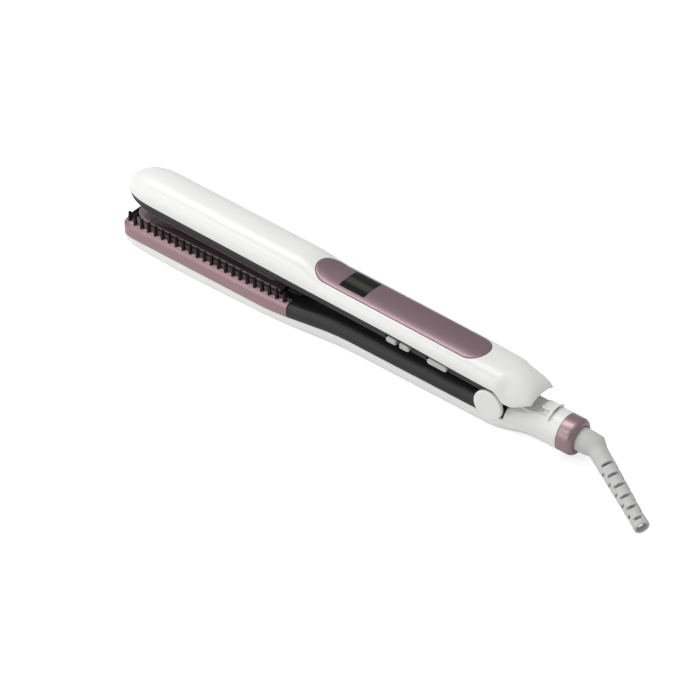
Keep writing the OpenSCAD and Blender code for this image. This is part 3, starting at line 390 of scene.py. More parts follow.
class Slot(Enum):
    """The record's material slots, each with its real finish."""

    # White ABS with a fine satin polish: a soft wide highlight, almost no texture
    CASING = "casing_white", Finish(
        "polished_white_abs", "#F6F6F4", "#F2F2F0", 0.26, 0.02, coat=0.15, grain_mm=0.9,
        relief_mm=0.0015, cloud_mm=60)
    # Rose polycarbonate with pearl pigment, satin: it glows along its shoulder
    COMB = "comb_rose", Finish(
        "pearl_rose_polycarbonate", "#A3838A", "#9C7C83", 0.34, 0.03, metallic=0.3, coat=0.4,
        coat_roughness=0.25, grain_mm=0.35, relief_mm=0.003)
    # Black PBT, moulded with a light spark-eroded grain
    BLACK = "black_plastic", Finish(
        "grained_black_pbt", "#1E1E1F", "#232324", 0.42, 0.05, grain_mm=0.45, relief_mm=0.012,
        cloud_mm=22)
    # Aluminium with a ceramic and tourmaline coat, ground along the plate
    PLATE = "plate_coating", Finish(
        "tourmaline_coated_aluminium", "#65545B", "#5D4D54", 0.32, 0.03, metallic=0.3, coat=0.2,
        grain_mm=0.3, relief_mm=0.002, stretch=(0.12, 1.0, 1.0))
    # Glossy mauve nylon of the plate's frame
    NOSE = "nose_mauve", Finish(
        "glossy_mauve_nylon", "#9A8890", "#938189", 0.24, 0.03, metallic=0.2, coat=0.3,
        grain_mm=0.5, relief_mm=0.003)
    # Aluminium sheet with satin mauve lacquer and fine flakes
    PANEL = "panel_mauve", Finish(
        "satin_mauve_lacquer", "#947C84", "#8D757D", 0.38, 0.03, metallic=0.75, coat=0.4,
        coat_roughness=0.18, grain_mm=0.22, relief_mm=0.0025, cloud_mm=45)
    # Chromed ABS in mauve, satin
    COLLAR = "collar_mauve", Finish(
        "mauve_chromed_abs", "#A48C93", "#9D858C", 0.36, 0.02, metallic=0.75, coat=0.25,
        coat_roughness=0.3, grain_mm=0.5, relief_mm=0.002)
    # Smoked acrylic over the display, with a painted reflection: a lighter grey-green band along its middle
    WINDOW = "display_glass", Finish(
        "smoked_acrylic_painted_reflection", "#0A0908", "#0C0B0A", 0.12, 0.02, specular=0.3, grain_mm=2.0,
        relief_mm=0.0005, painted_reflection_tint="#3C3F36", painted_reflection_mm=2.2)
    # Light grey ABS, matt
    BUTTON = "button_grey", Finish(
        "matt_grey_abs", "#C6C6C4", "#C0C0BE", 0.46, grain_mm=0.4, relief_mm=0.006)
    # Light grey TPE of the cord's sleeve
    SLEEVE = "relief_grey", Finish(
        "soft_grey_tpe", "#CFCFCE", "#CACAC9", 0.5, sheen=0.05, grain_mm=0.7, relief_mm=0.008)
    # Zinc-plated and spring steel
    STEEL = "steel", Finish(
        "zinc_plated_steel", "#B4B6B8", "#A9ABAE", 0.28, 0.05, metallic=1.0, ior=1.5,
        grain_mm=0.3, relief_mm=0.003)
    # Alumina of the heaters
    CERAMIC = "ceramic", Finish("sintered_alumina", "#E8E3D6", "#DFD9CA", 0.6, 0.05)
    # Glass-epoxy laminate with green solder resist
    BOARD = "board_green", Finish("green_solder_resist", "#1F5A33", "#1A5230", 0.35, coat=0.2)
    # Dark grey ABS of the modules
    MODULE = "dark_module", Finish("dark_grey_abs", "#343436", "#2E2E30", 0.5, 0.05)
    # Brass of the sliding contacts
    BRASS = "contact_brass", Finish(
        "drawn_brass", "#B98F3E", "#AE8538", 0.3, 0.05, metallic=1.0, ior=1.5)
    # Red silicone of the leads
    LEAD = "lead_red", Finish("red_silicone", "#A8322B", "#9E2D27", 0.5)
    # Orange epoxy bead of the sensor
    SENSOR = "sensor_orange", Finish("orange_epoxy", "#C97A2C", "#BF7027", 0.35)

    def __init__(self, key: str, finish: Finish) -> None:
        """Keeps the slot's name in the record and its finish."""
        self.key = key
        self.finish = finish


# Black nylon of the comb's teeth, matt, with painted shade: its tint is darker than the casings' black to
# stand for the shade between the teeth
SHADED_TOOTH_NYLON = Finish("matt_black_nylon_painted_shade", "#0C0B0C", "#100F10", 0.5, 0.05, specular=0.3,
                     grain_mm=0.4, relief_mm=0.006)

# Aluminium-grey tint on a fine ring round the plate's rounded edge: a painted highlight that stands for the
# bright line of light along the edge
PLATE_EDGE_HIGHLIGHT = Finish("plate_edge_painted_highlight", "#8A8286", "#807A7D", 0.5, metallic=0.7,
                   grain_mm=0.3, relief_mm=0.001)


# Outlines and placings


def inset(outline: Flat, d: float) -> Flat:
    """Returns an outline, given either way round, moved inwards by d at each corner's bisector."""
    if abs(d) < 1e-9:
        return list(outline)
    following = list(outline[1:]) + [outline[0]]
    area = sum(a[0] * b[1] - b[0] * a[1] for a, b in zip(outline, following))
    side = 1 if area > 0 else -1
    out = []
    for i, (x, y) in enumerate(outline):
        ax, ay = outline[i - 1]
        bx, by = following[i]
        n = Vector((-(y - ay), x - ax)).normalized() + Vector((-(by - y), bx - x)).normalized()
        scale = 1 / max(SHARPEST, n.length_squared / 2) if n.length > 1e-6 else 0
        out.append((x + side * d * n.x * scale, y + side * d * n.y * scale))
    return out


def arc(cx: float, cy: float, r: float, start: float, sweep: float, steps: int) -> Flat:
    """Returns points of an arc round cx, cy over sweep degrees from start."""
    turns = [math.radians(start + sweep * i / steps) for i in range(steps + 1)]
    return [(cx + r * math.cos(a), cy + r * math.sin(a)) for a in turns]


def bar(x0: float, x1: float, width: float, steps: int = 24, side: int = 1) -> Flat:
    """Returns the outline of a bar with round ends from x0 to x1, its sides in side steps."""
    r, out = width / 2, []
    for cx, start, other in ((x1 - r, -90, x0 + r), (x0 + r, 90, x1 - r)):
        out += arc(cx, 0, r, start, 180, steps)
        edge = out[-1][1]
        out += [(mix(cx, other, i / side), edge) for i in range(1, side)]
    return out


def box_outline(x0: float, x1: float, y0: float, y1: float, r: float = 0.0,
                steps: int = 5) -> Flat:
    """Returns the outline of a rectangle with corners of radius r."""
    if r <= 0:
        return [(x0, y0), (x1, y0), (x1, y1), (x0, y1)]
    corners = [(x1 - r, y0 + r, -90), (x1 - r, y1 - r, 0), (x0 + r, y1 - r, 90), (x0 + r, y0 + r, 180)]
    return [p for cx, cy, start in corners for p in arc(cx, cy, r, start, 90, steps)]


def flank(x0: float, x1: float, side: int, near: float, far: float) -> Flat:
    """Returns a rectangle between two distances from the middle, on the side +1 or -1."""
    return box_outline(x0, x1, *sorted((side * near, side * far)))


def disc(r: float, low: float, high: float) -> Flat:
    """Returns the profile of a plain round form for turning."""
    return [(0, low), (r, low), (r, high), (0, high)]


def upright(x: float = 0.0) -> Placing:
    """Returns a placing that keeps a form upright and shifts it along X."""
    return lambda a, b, h: (x + a, b, h)


def sideways(side: int = 1) -> Placing:
    """Returns a placing that turns a form's axis onto the hinge axis, towards the side +1 or -1."""
    return lambda a, b, h: (a, side * h, b)


def lengthwise(z: float) -> Placing:
    """Returns a placing that turns a form's axis along +X at height z."""
    return lambda a, b, h: (h, a, z + b)


# Meshes


class Draft:
    """A mesh in the making, drawn in one arm's millimetres."""

    def __init__(self, arm: Arm, base: Optional[Piece] = None) -> None:
        """Starts an empty mesh, or one with the faces of a piece."""
        self.arm, self.base, self.bm = arm, base, bmesh.new()
        if base:
            self.bm.from_mesh(base.data)

    def skin(self, rings: Sequence[Ring], along: bool = False) -> "Draft":
        """Adds faces between closed rings of points.

        Args:
            rings: rings with the same number of points.
            along: whether the last ring joins the first. If not, both get a face.
        Returns:
            This draft.
        """
        rows = [[self.bm.verts.new(self.arm.place(p)) for p in ring] for ring in rings]
        for a, b in list(zip(rows, rows[1:])) + ([(rows[-1], rows[0])] if along else []):
            for i in range(len(a)):
                j = (i + 1) % len(a)
                self.bm.faces.new((a[i], a[j], b[j], b[i]))
        if not along:
            self.bm.faces.new(list(reversed(rows[0])))
            self.bm.faces.new(rows[-1])
        return self

    def slab(self, outline: Flat, low: float, high: float, round_top: float = 0.0,
             round_low: float = 0.0, place: Placing = upright()) -> "Draft":
        """Adds a slab whose edges are rounded by insetting its outline.

        Args:
            outline: corner points, in order.
            low: height of the underside.
            high: height of the top.
            round_top: radius of the top edge.
            round_low: radius of the lower edge.
            place: where a point of the slab goes.
        Returns:
            This draft.
        """
        rise = [math.radians(a) for a in ((0, 30, 60, 90) if round_low else (90,))]
        fall = [math.radians(a) for a in ((0, 22, 45, 67, 90) if round_top else (0,))]
        levels = [(round_low * (1 - math.sin(a)), low + round_low * (1 - math.cos(a))) for a in rise]
        levels += [(round_top * (1 - math.cos(a)), high - round_top * (1 - math.sin(a))) for a in fall]
        return self.skin([[place(x, y, z) for x, y in inset(outline, d)] for d, z in levels])

    def lathe(self, profile: Flat, place: Placing, steps: int = 64) -> "Draft":
        """Adds a turned form whose profile is (radius, height) pairs, closed where it meets the axis."""
        turns = [math.tau * i / steps for i in range(steps)]
        return self.skin([[place(r * math.cos(a), r * math.sin(a), h) for r, h in profile]
                          for a in turns], along=True)

    def finish(self, name: str, crease_deg: float = 38.0) -> Piece:
        """Turns the draft into a linked object with smooth faces and sharp creases."""
        bmesh.ops.remove_doubles(self.bm, verts=self.bm.verts, dist=1e-6)
        bmesh.ops.recalc_face_normals(self.bm, faces=self.bm.faces)
        mesh = bpy.data.meshes.new(name)
        self.bm.to_mesh(mesh)
        self.bm.free()
        mesh.shade_smooth()
        mesh.set_sharp_from_angle(angle=math.radians(crease_deg))
        made = bpy.data.objects.new(name, mesh)
        bpy.context.scene.collection.objects.link(made)
        return made

    def keep(self) -> Piece:
        """Writes the draft back to the piece that it began with."""
        self.bm.to_mesh(self.base.data)
        self.bm.free()
        return self.base

    def cut_from(self, piece: Piece, name: str) -> None:
        """Cuts the draft out of a piece."""
        cutter = self.finish(name)
        step = piece.modifiers.new("cut", "BOOLEAN")
        step.operation, step.solver, step.object = "DIFFERENCE", "EXACT", cutter
        bpy.context.view_layer.update()
        cut = bpy.data.meshes.new_from_object(
            piece.evaluated_get(bpy.context.evaluated_depsgraph_get()))
        if not cut.polygons:
            raise RuntimeError(f"the cuts left nothing of {piece.name}")
        piece.modifiers.clear()
        piece.data = cut
        cut.shade_smooth()
        cut.set_sharp_from_angle(angle=math.radians(CUT_CREASE_DEG))
        bpy.data.objects.remove(cutter)


def arch(x: float, w: float, base: float, h: float, n: float, steps: int,
         below: bool = False) -> Ring:
    """Returns half a superellipse at x, over its crown or under its belly.

    Args:
        x: place along the arm.
        w: half width.
        base: height of its middle.
        h: height of the crown over the middle, or depth of the belly under it.
        n: roundness exponent, 2 for an ellipse.
        steps: number of steps.
        below: whether it is the lower half.
    """
    turns = [(math.pi if below else 0.0) + math.pi * i / steps for i in range(steps + 1)]
    return [(x, -w * powered(math.cos(a), 2 / n), base + h * powered(math.sin(a), 2 / n)) for a in turns]


def band(outer: Ring, inner: Ring, r: float, up: float) -> Ring:
    """Returns a closed section of a shell: outer skin, rounded rim, inner skin, rounded rim.

    Args:
        outer: points of the outer skin from one rim to the other.
        inner: points of the inner skin, as many.
        r: radius of the rims' edges.
        up: 1 when the rims face up, -1 when they face down.
    """
    def rim(a: Point, b: Point) -> Ring:
        """Returns the points from skin a over the rim to skin b."""
        pa, pb = Vector(a), Vector(b)
        pb.z = pa.z
        way = pb - pa
        q = min(r, 0.3 * way.length)
        way.normalize()
        z = Vector((0, 0, up))
        return [tuple(v) for v in (pa - q * z, pa + 0.3 * q * way - 0.3 * q * z, pa + q * way,
                                   pb - q * way, pb - 0.3 * q * way - 0.3 * q * z, pb - q * z)]
    return (list(outer[1:-1]) + rim(outer[-1], inner[-1]) + list(reversed(inner[1:-1]))
            + rim(inner[0], outer[0]))


@dataclass(frozen=True)
class Nose:
    """The rounded end of a shell: where it starts, how deep it is and how its rows shrink.

    shares holds each row's reach, width and height as parts of the whole.
    """

    bend: float = 0.0
    depth: float = 0.0
    shares: tuple[Point, ...] = ()
    taper: float = math.inf


def shell(name: str, arm: Arm, row: Callable[..., Ring], wall: float, rim_r: float, up: float,
          marks: list[float], end: Nose = Nose()) -> Piece:
    """Returns a thin casing, lofted through sections of its outer and inner skin.

    Args:
        name: the piece's name.
        arm: the arm whose drawing it is in.
        row: gives the skin at x, inset by a gap, and in the nose its width and height shares.
        wall: thickness of the wall.
        rim_r: radius of the rims' edges.
        up: 1 when the casing opens upwards, -1 when it opens downwards.
        marks: places along X behind the nose.
        end: the nose, if any.
    """
    rings = []
    for reach, width, height in end.shares:
        rings.append(band(row(end.bend - end.depth * reach, 0, width, height),
                          row(end.bend - (end.depth - wall) * reach, wall, width, height),
                          min(rim_r, end.taper * height * width), up))
    rings += [band(row(x, 0), row(x, wall), rim_r, up) for x in marks]
    return Draft(arm).skin(rings).finish(name)


@dataclass
class SubAssembly:
    """A group of pieces that shares the finishes and reports what it makes."""

    finishes: dict[Slot, Material]
    body: str = "lower_arm"
    arc_steps: int = 40
    made: list[str] = field(default_factory=list)

    def publish(self, piece: Piece, slot: Slot, node: str, body: str = "",
                material: Optional[Material] = None) -> None:
        """Dresses a piece, lets it ride on a body and hides the CAD node that it stands for.

        Args:
            piece: the piece.
            slot: its material slot.
            node: the CAD node that it stands for.
            body: its body, when not the group's own.
            material: its material, when not the slot's own.
        """
        piece.data.materials.clear()
        piece.data.materials.append(material or self.finishes[slot])
        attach(piece, body or self.body)
        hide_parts(node)
        self.made.append(piece.name)
        log.info("%s rides on %s", piece.name, body or self.body)

    def carry(self, slot: Slot, *nodes: str) -> None:
        """Gives CAD nodes that keep their own shape a finish."""
        for node in nodes:
            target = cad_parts[node]
            target.data.materials.clear()
            target.data.materials.append(self.finishes[slot])
            log.info("%s keeps its CAD shape", node)


# Sub-assemblies


@dataclass
class LowerArm(SubAssembly):
    """White casing, rose comb casing, teeth, heated plate with its frame, and the grip cover."""

    rim_r: float = 0.3
    ear_near: float = 9.9
    cap_seat: float = 12.3
    axle_clear_r: float = 8.5
    tooth_pitch: float = 5.0
    tooth_h: float = 5.5
    tooth_r: float = 1.15
    tooth_inset: float = 2.75
    foot_depth: float = 1.8
    shoulder_w: float = 3.03
    teeth_rear: float = 129.7
    tooth_count: int = 23
    frame_half_w: float = 11.0
    frame_front: float = 241.6
    frame_low: float = -3.4
    plate_front: float = 227.5
    plate_rear: float = 135.5
    plate_face: float = 2.2
    plate_seat: float = 0.2
    tongue_w: float = 15.0
    tongue_rear: float = -122.5
    grip_front: float = -126.9
    grip_screws: Pair = (-99.0, -42.0)

    def build(self) -> None:
        """Builds every piece of the lower arm."""
        # The teeth and the tip cap take the tooth nylon, whose darker tint is painted shade.
        nylon = SHADED_TOOTH_NYLON.build()
        self.publish(self.casing(), Slot.CASING, "lower_shell")
        self.publish(self.comb_casing(), Slot.COMB, "comb_casing")
        self.publish(self.teeth("comb_teeth_near", 1), Slot.BLACK, "comb_near", material=nylon)
        self.publish(self.teeth("comb_teeth_far", -1), Slot.BLACK, "comb_far", material=nylon)
        self.publish(self.tip_cap(), Slot.BLACK, "comb_tip", material=nylon)
        self.publish(self.plate(), Slot.PLATE, "lower_plate")
        # The plate's edge ring takes a lighter tint, a painted highlight.
        self.publish(self.plate_edge(), Slot.PLATE, "lower_plate", material=PLATE_EDGE_HIGHLIGHT.build())
        self.publish(self.frame_nose(), Slot.NOSE, "lower_plate_frame")
        self.publish(self.frame_base(), Slot.BLACK, "lower_plate_frame")
        self.publish(self.grip_cover(), Slot.BLACK, "lower_grip_cover")
        self.carry(Slot.STEEL, "lower_screws", "lower_heater_clip", "thermal_fuse")
        self.carry(Slot.CERAMIC, "lower_heater")
        self.carry(Slot.LEAD, "heater_leads")

    def casing_row(self, x: float, gap: float, f: float = 1.0, g: float = 1.0) -> Ring:
        """Returns the casing's skin at x, inset by gap and narrowed by f and g."""
        c = CURVES
        half = arch(x, (c.lower_w(x) - gap) * f, c.lower_part(x), (c.lower_depth(x) - gap) * g,
                    c.lower_n(x), self.arc_steps, True)
        return [(px, py, max(pz, gap - HINGE_H)) for px, py, pz in half]

    def casing(self) -> Piece:
        """Returns the white lower casing with its hinge ears."""
        c = CURVES
        bend = c.lower_nose - c.lower_reach
        shares = tuple((reach, width, rounded(reach, 4)) for reach, width in nose(30, c.lower_nose_p))
        piece = shell("lower_casing", Arm.LOWER, self.casing_row, c.wall, self.rim_r, 1,
                      stations(bend, (-c.comb_rear, 36), (-8, 40), (24, 22), (c.tail_end, 6)),
                      Nose(bend, c.lower_nose, shares, 3))
        seats = Draft(Arm.LOWER)
        for side in (1, -1):
            seats.lathe(disc(self.axle_clear_r, self.cap_seat, 20), sideways(side), 72)
        seats.cut_from(piece, "cap_seats")
        ears = Draft(Arm.LOWER, piece)
        near, far = self.ear_near, self.cap_seat
        for side in (1, -1):
            ears.lathe([(0, near), (6.4, near), (6.6, near + 0.2), (6.6, far - 0.2), (6.4, far), (0, far)],
                       sideways(side), 48)
            ears.slab(flank(-6.6, 6.0, side, near, far), -8, 0)
        return ears.keep()

    def comb_section(self, x: float) -> list[tuple[float, float, float, float]]:
        """Returns the comb casing's section at x: side inset, front inset, height, nose exponent."""
        c = CURVES
        lip = c.lower_w(x) - self.frame_half_w - FRAME_GAP
        front = c.lower_reach - self.frame_front - FRAME_GAP
        low, top, wall = c.lower_part(x) + 0.1, c.shelf_h, c.wall
        rim = [(0.0, top - wall), (0.0, top - 0.25), (0.07, top - 0.07), (0.25, top)]
        skin = self.shoulder(top) + [(0.0, low + 0.15), (0.12, low), (wall, low), (wall, top - 3.4),
                                     (wall + 1.6, top - wall)]
        return ([(lip - d, front - d, z, c.frame_nose_p) for d, z in rim]
                + [(d, d, z, c.lower_nose_p) for d, z in skin])

    def shoulder(self, top: float) -> Flat:
        """Returns the sloped shoulder under the teeth as side inset and height, from the shelf down.

        The surface turns quickly from level to 25 degrees, slowly to 50 and quickly to upright.
        """
        turns = [(0.3, 0, 25, 3), (3.0, 25, 50, 12), (1.0, 50, 88, 6)]
        d, z = self.shoulder_w, top
        out = [(d, z)]
        for length, first, last, steps in turns:
            for i in range(steps):
                a = math.radians(mix(first, last, (i + 0.5) / steps))
                d -= math.cos(a) * length / steps
                z -= math.sin(a) * length / steps
                out.append((max(0.0, d), z))
        return out

    def comb_casing(self) -> Piece:
        """Returns the rose casing that carries the teeth round the plate's frame."""
        c = CURVES
        marks = ([i / 4 for i in range(32)] + [8 + 16 * i / 72 for i in range(73)]
                 + [24 + i / 4 for i in range(1, 33)])
        rings = []
        for k in marks:
            x = c.comb_at(k, 0, 0, c.lower_nose_p)[0]
            rings.append([(*c.comb_at(k, d, front, p), z) for d, front, z, p in self.comb_section(x)])
        return Draft(Arm.LOWER).skin(rings).finish("comb_casing_rose")

    def tooth_places(self) -> Flat:
        """Returns the near row's tooth places at equal steps along the path."""
        path = [CURVES.comb_at(k / 8, self.tooth_inset, self.tooth_inset, CURVES.lower_nose_p)
                for k in range(257)]
        lengths = [0.0]
        for a, b in zip(path, path[1:]):
            lengths.append(lengths[-1] + math.dist(a, b))
        places = []
        for i in range(self.tooth_count):
            s = self.teeth_rear - CURVES.comb_rear + i * self.tooth_pitch
            j = max(k for k, v in enumerate(lengths) if v <= s)
            t = (s - lengths[j]) / (lengths[j + 1] - lengths[j])
            places.append((mix(path[j][0], path[j + 1][0], t), mix(path[j][1], path[j + 1][1], t)))
        return places

    def teeth(self, name: str, side: int) -> Piece:
        """Returns a row of round-tipped teeth; side is 1 for the near row and -1 for the far one."""
        shelf, r, tip = CURVES.shelf_h, self.tooth_r, 0.8 * self.tooth_r
        top, foot, neck = shelf + self.tooth_h, shelf - self.foot_depth, shelf + 0.35
        profile = [(0.0, foot), (r + 0.05, foot), (r + 0.05, shelf), (r, neck)]
        profile += [(mix(r, tip, t), mix(neck, top - tip, t)) for t in (0.35, 0.7, 1.0)]
        profile += [(tip * math.cos(math.radians(a)), top - tip * (1 - math.sin(math.radians(a))))
                    for a in (15, 30, 45, 60, 75)] + [(0.0, top)]
        row = Draft(Arm.LOWER)
        for x, y in self.tooth_places():
            row.lathe(profile, lambda a, b, h, x=x, y=y: (x + a, side * (y + b), h), 20)
        return row.finish(name, FINE_CREASE_DEG)

    def tip_cap(self) -> Piece:
        """Returns the black cap on the shelf between the two rows of teeth."""
        c = CURVES
        marks = [12 + 8 * i / 40 for i in range(41)]
        d = c.comb_half_w - self.frame_half_w - FRAME_GAP
        front = c.lower_reach - self.frame_front - FRAME_GAP
        outline = [c.comb_at(k, 2.2, 2.2, c.lower_nose_p) for k in marks]
        outline += [c.comb_at(k, d, front, c.frame_nose_p) for k in reversed(marks)]
        cap = Draft(Arm.LOWER).slab(outline, c.shelf_h - 0.9, c.shelf_h + 1.0, 0.3)
        return cap.finish("comb_tip_cap")

    def plate_outline(self) -> Flat:
        """Returns the heated plate's outline."""
        return box_outline(-self.plate_front, -self.plate_rear, -self.frame_half_w,
                           self.frame_half_w, 0.3)

    def plate(self) -> Piece:
        """Returns the heated plate with softened edges."""
        made = Draft(Arm.LOWER).slab(inset(self.plate_outline(), 0.08), self.plate_seat,
                                     self.plate_face, 0.35)
        return made.finish("lower_heated_plate")

    def plate_edge(self) -> Piece:
        """Returns a fine ring on the plate's rounded edge, whose lighter tint is a painted highlight."""
        profile = [(0.0, -0.55), (0.03, -0.3), (0.14, -0.12), (0.34, 0.01), (0.34, -0.2), (0.12, -0.55)]
        loops = [[(x, y, self.plate_face + z) for x, y in inset(self.plate_outline(), d)]
                 for d, z in profile]
        return Draft(Arm.LOWER).skin(loops, along=True).finish("lower_plate_edge", 70)

    def frame_outline(self, front_only: bool) -> Flat:
        """Returns the frame's outline from its rounded nose back, or its nose alone."""
        c = CURVES
        d, front = c.comb_half_w - self.frame_half_w, c.lower_reach - self.frame_front
        rear = -self.plate_front - 0.1 if front_only else -self.plate_rear
        curve = [c.comb_at(8 + 16 * i / 96, d, front, c.frame_nose_p) for i in range(97)]
        if front_only:
            curve = [p for p in curve if p[0] < rear - 0.2]
        return [(rear, abs(curve[-1][1])), (rear, -abs(curve[0][1]))] + curve

    def tongue(self, front: float) -> Flat:
        """Returns the outline of the round-ended tongue behind the plate, cut off at front."""
        r = self.tongue_w / 2
        cx = self.tongue_rear - r
        end = arc(cx, 0, r, -90, 180, 24)
        return [p for p in end if p[0] >= front] if front > cx else [(front, -r)] + end + [(front, r)]

    def frame_nose(self) -> Piece:
        """Returns the glossy nose before the plate."""
        made = Draft(Arm.LOWER).slab(self.frame_outline(True), self.plate_seat - 0.5, self.plate_face, 0.8)
        return made.finish("plate_frame_nose")

    def frame_base(self) -> Piece:
        """Returns the frame's body under the plate, with the tongue behind it."""
        low, seat = self.frame_low, self.plate_seat
        made = Draft(Arm.LOWER).slab(self.frame_outline(False), low, seat - 0.02)
        made.slab(self.tongue(-self.plate_rear - 1), low, seat - 0.02)
        made.slab(self.tongue(-self.plate_rear + 2.2), seat - 0.5, self.plate_face, 0.7)
        made.slab(box_outline(-136.5, -127, -self.frame_half_w, self.frame_half_w), low, -1.0)
        return made.finish("plate_frame_base")

    def grip_row(self, x: float, gap: float) -> Ring:
        """Returns the grip cover's skin at x, inset by gap."""
        c = CURVES
        return arch(x, c.lower_w(x) - gap, c.lower_part(x) + 0.1,
                    c.grip_crown(x) - c.lower_part(x) - gap, mix(5, 3, ease(x, -127, -90)), self.arc_steps)

    def grip_cover(self) -> Piece:
        """Returns the black grip cover with its scooped front, screw wells and hinge seats."""
        marks = [self.grip_front] + stations(self.grip_front, (-88, 40), (0, 40))
        piece = shell("lower_grip_black", Arm.LOWER, self.grip_row, CURVES.wall, 0.25, -1, marks)
        cuts = Draft(Arm.LOWER).lathe(disc(self.axle_clear_r, -30, 30), sideways(), 72)
        cuts.slab(bar(-160, self.tongue_rear + 0.3, self.tongue_w + 0.6), -12, 12)
        for x in self.grip_screws:
            top = CURVES.grip_crown(x)
            cuts.lathe(disc(SCREW_WELL_R, top - 1.9, top + 5), upright(x), 40)
        cuts.cut_from(piece, "grip_cuts")
        return piece


@dataclass(frozen=True)
class Key:
    """A side button: its names, place, length and which of its ends are round."""

    name: str
    body: str
    x: float
    length: float
    round_front: bool
    round_rear: bool


@dataclass
class UpperArm(SubAssembly):
    """White casing, black inner cover, floating plate, grip panel, window and buttons."""

    body: str = "upper_arm"
    arc_steps: int = 44
    rim_r: float = 0.35
    axle_clear_r: float = 8.75
    panel_front: float = 118.5
    panel_rear: float = 11.0
    panel_w: float = 18.6
    window_setback: float = 18.0
    window_len: float = 16.2
    window_near: float = 6.5
    window_far: float = 8.2
    cover_side: float = 12.8
    cover_wall: float = 1.4
    cover_screws: Pair = (-124.0, -3.8)
    ion_outlet_x: float = -112.0
    ear_near: float = 7.15
    ear_far: float = 9.55
    plate_front: float = 236.0
    plate_rear: float = 132.5
    plate_w: float = 22.0
    face: float = 2.5
    button_h: float = 3.1
    button_mid: float = 7.6
    button_proud: float = 1.0
    notch: float = 0.9
    keys: tuple[Key, ...] = (
        Key("power_key", "power", -31.9, 12.2, True, True),
        Key("plus_key", "plus", -52.3, 6.2, False, True),
        Key("minus_key", "minus", -60.8, 6.2, True, False))

    def build(self) -> None:
        """Builds every piece of the upper arm."""
        self.publish(self.casing(), Slot.CASING, "upper_shell")
        self.publish(self.inner_cover(), Slot.BLACK, "upper_inner_cover")
        self.publish(self.panel(), Slot.PANEL, "grip_panel")
        self.publish(self.window(), Slot.WINDOW, "display_window")
        self.publish(self.plate(), Slot.PLATE, "upper_plate", "floating_plate")
        for key in self.keys:
            self.publish(self.button(key), Slot.BUTTON, f"{key.body}_button", key.body)
        self.carry(Slot.BLACK, "upper_plate_frame")
        self.carry(Slot.STEEL, "upper_screws", "front_plate_springs", "rear_plate_springs",
                   "upper_heater_clip")
        self.carry(Slot.CERAMIC, "upper_heater")
        self.carry(Slot.SENSOR, "temperature_sensor")
        self.carry(Slot.MODULE, "display_module", "ion_generator", "ion_outlet")
        self.carry(Slot.BOARD, "main_board", "switch_board")

    def casing_row(self, x: float, gap: float, f: float = 1.0, g: float = 1.0) -> Ring:
        """Returns the upper casing's skin at x, inset by gap and narrowed by f and g."""
        c, e = CURVES, CURVES.upper_edge(x)
        return arch(x, (c.upper_w(x) - gap) * f, e, (c.upper_crown(x) - e - gap) * g, c.upper_n(x),
                    self.arc_steps)

    def casing(self) -> Piece:
        """Returns the white upper casing with the panel's opening and the hinge's clearance."""
        c = CURVES
        bend = c.upper_nose - c.upper_reach
        shares = tuple((reach, width, rounded(reach, 2.2)) for reach, width in nose(30, c.upper_nose_p))
        piece = shell("upper_casing", Arm.UPPER, self.casing_row, c.wall, self.rim_r, -1,
                      stations(bend, (-128, 40), (-104, 24), (0, 44), (c.upper_rear, 26)),
                      Nose(bend, c.upper_nose, shares, 3))
        cuts = Draft(Arm.UPPER).lathe(disc(self.axle_clear_r, -30, 30), sideways(), 96)
        cuts.slab(bar(-self.panel_front - 0.12, 0.12 - self.panel_rear, self.panel_w + 0.24, 40), 12.5, 40)
        cuts.cut_from(piece, "casing_cuts")
        return piece

    def cover_row(self, x: float, gap: float, f: float = 1.0, g: float = 1.0) -> Ring:
        """Returns the inner cover's skin at x, inset by gap and narrowed by f and g."""
        e = CURVES.cover_rim(x) + 0.2
        return arch(x, (self.cover_side - gap) * f, e, (e - CURVES.cover_floor(x) - gap) * g, 7,
                    self.arc_steps, True)

    def inner_cover(self) -> Piece:
        """Returns the black tray of the upper arm with its openings and hinge ears."""
        c = CURVES
        bend = c.upper_nose - c.upper_reach
        shares = tuple((reach, width, mix(0.15, 1, rounded(reach, 2.4)))
                       for reach, width in nose(24, c.upper_nose_p))
        piece = shell("upper_cover_black", Arm.UPPER, self.cover_row, self.cover_wall, 0.05, 1,
                      stations(bend, (-131, 20), (-112, 12), (9, 28)),
                      Nose(bend, c.upper_nose - 0.7, shares))
        cuts = Draft(Arm.UPPER).slab(bar(-self.plate_front - 0.3, -self.plate_rear + 0.3,
                                         self.plate_w + 0.6, 32), 0, 8.85)
        for x in self.cover_screws:
            floor = c.cover_floor(x)
            cuts.lathe(disc(SCREW_WELL_R, floor - 3, floor + 1.2), upright(x), 40)
        cuts.lathe(disc(2.5, 2, 9), upright(self.ion_outlet_x), 40)
        for key in self.keys:
            half = key.length / 2 + self.notch
            cuts.slab(box_outline(-half, half, -1.8, 1.8, 0.3), -4, 4, place=self.on_side(key.x))
        cuts.cut_from(piece, "cover_cuts")
        seats, heels = Draft(Arm.UPPER), Draft(Arm.UPPER)
        for side in (1, -1):
            seats.lathe(disc(self.axle_clear_r, 9.6, 30), sideways(side), 72)
            heels.slab(flank(1.5, 21.5, side, self.ear_far, self.ear_far + 10), 0, 20)
        seats.cut_from(piece, "cover_seats")
        heels.cut_from(piece, "cover_heels")
        ears = Draft(Arm.UPPER, piece)
        near, far = self.ear_near, self.ear_far
        for side in (1, -1):
            ears.lathe([(2.05, near), (6.2, near), (6.2, far), (2.05, far)], sideways(side), 48)
            ears.slab(flank(-6.2, 6, side, near, far), 4, 6.2)
        return ears.keep()

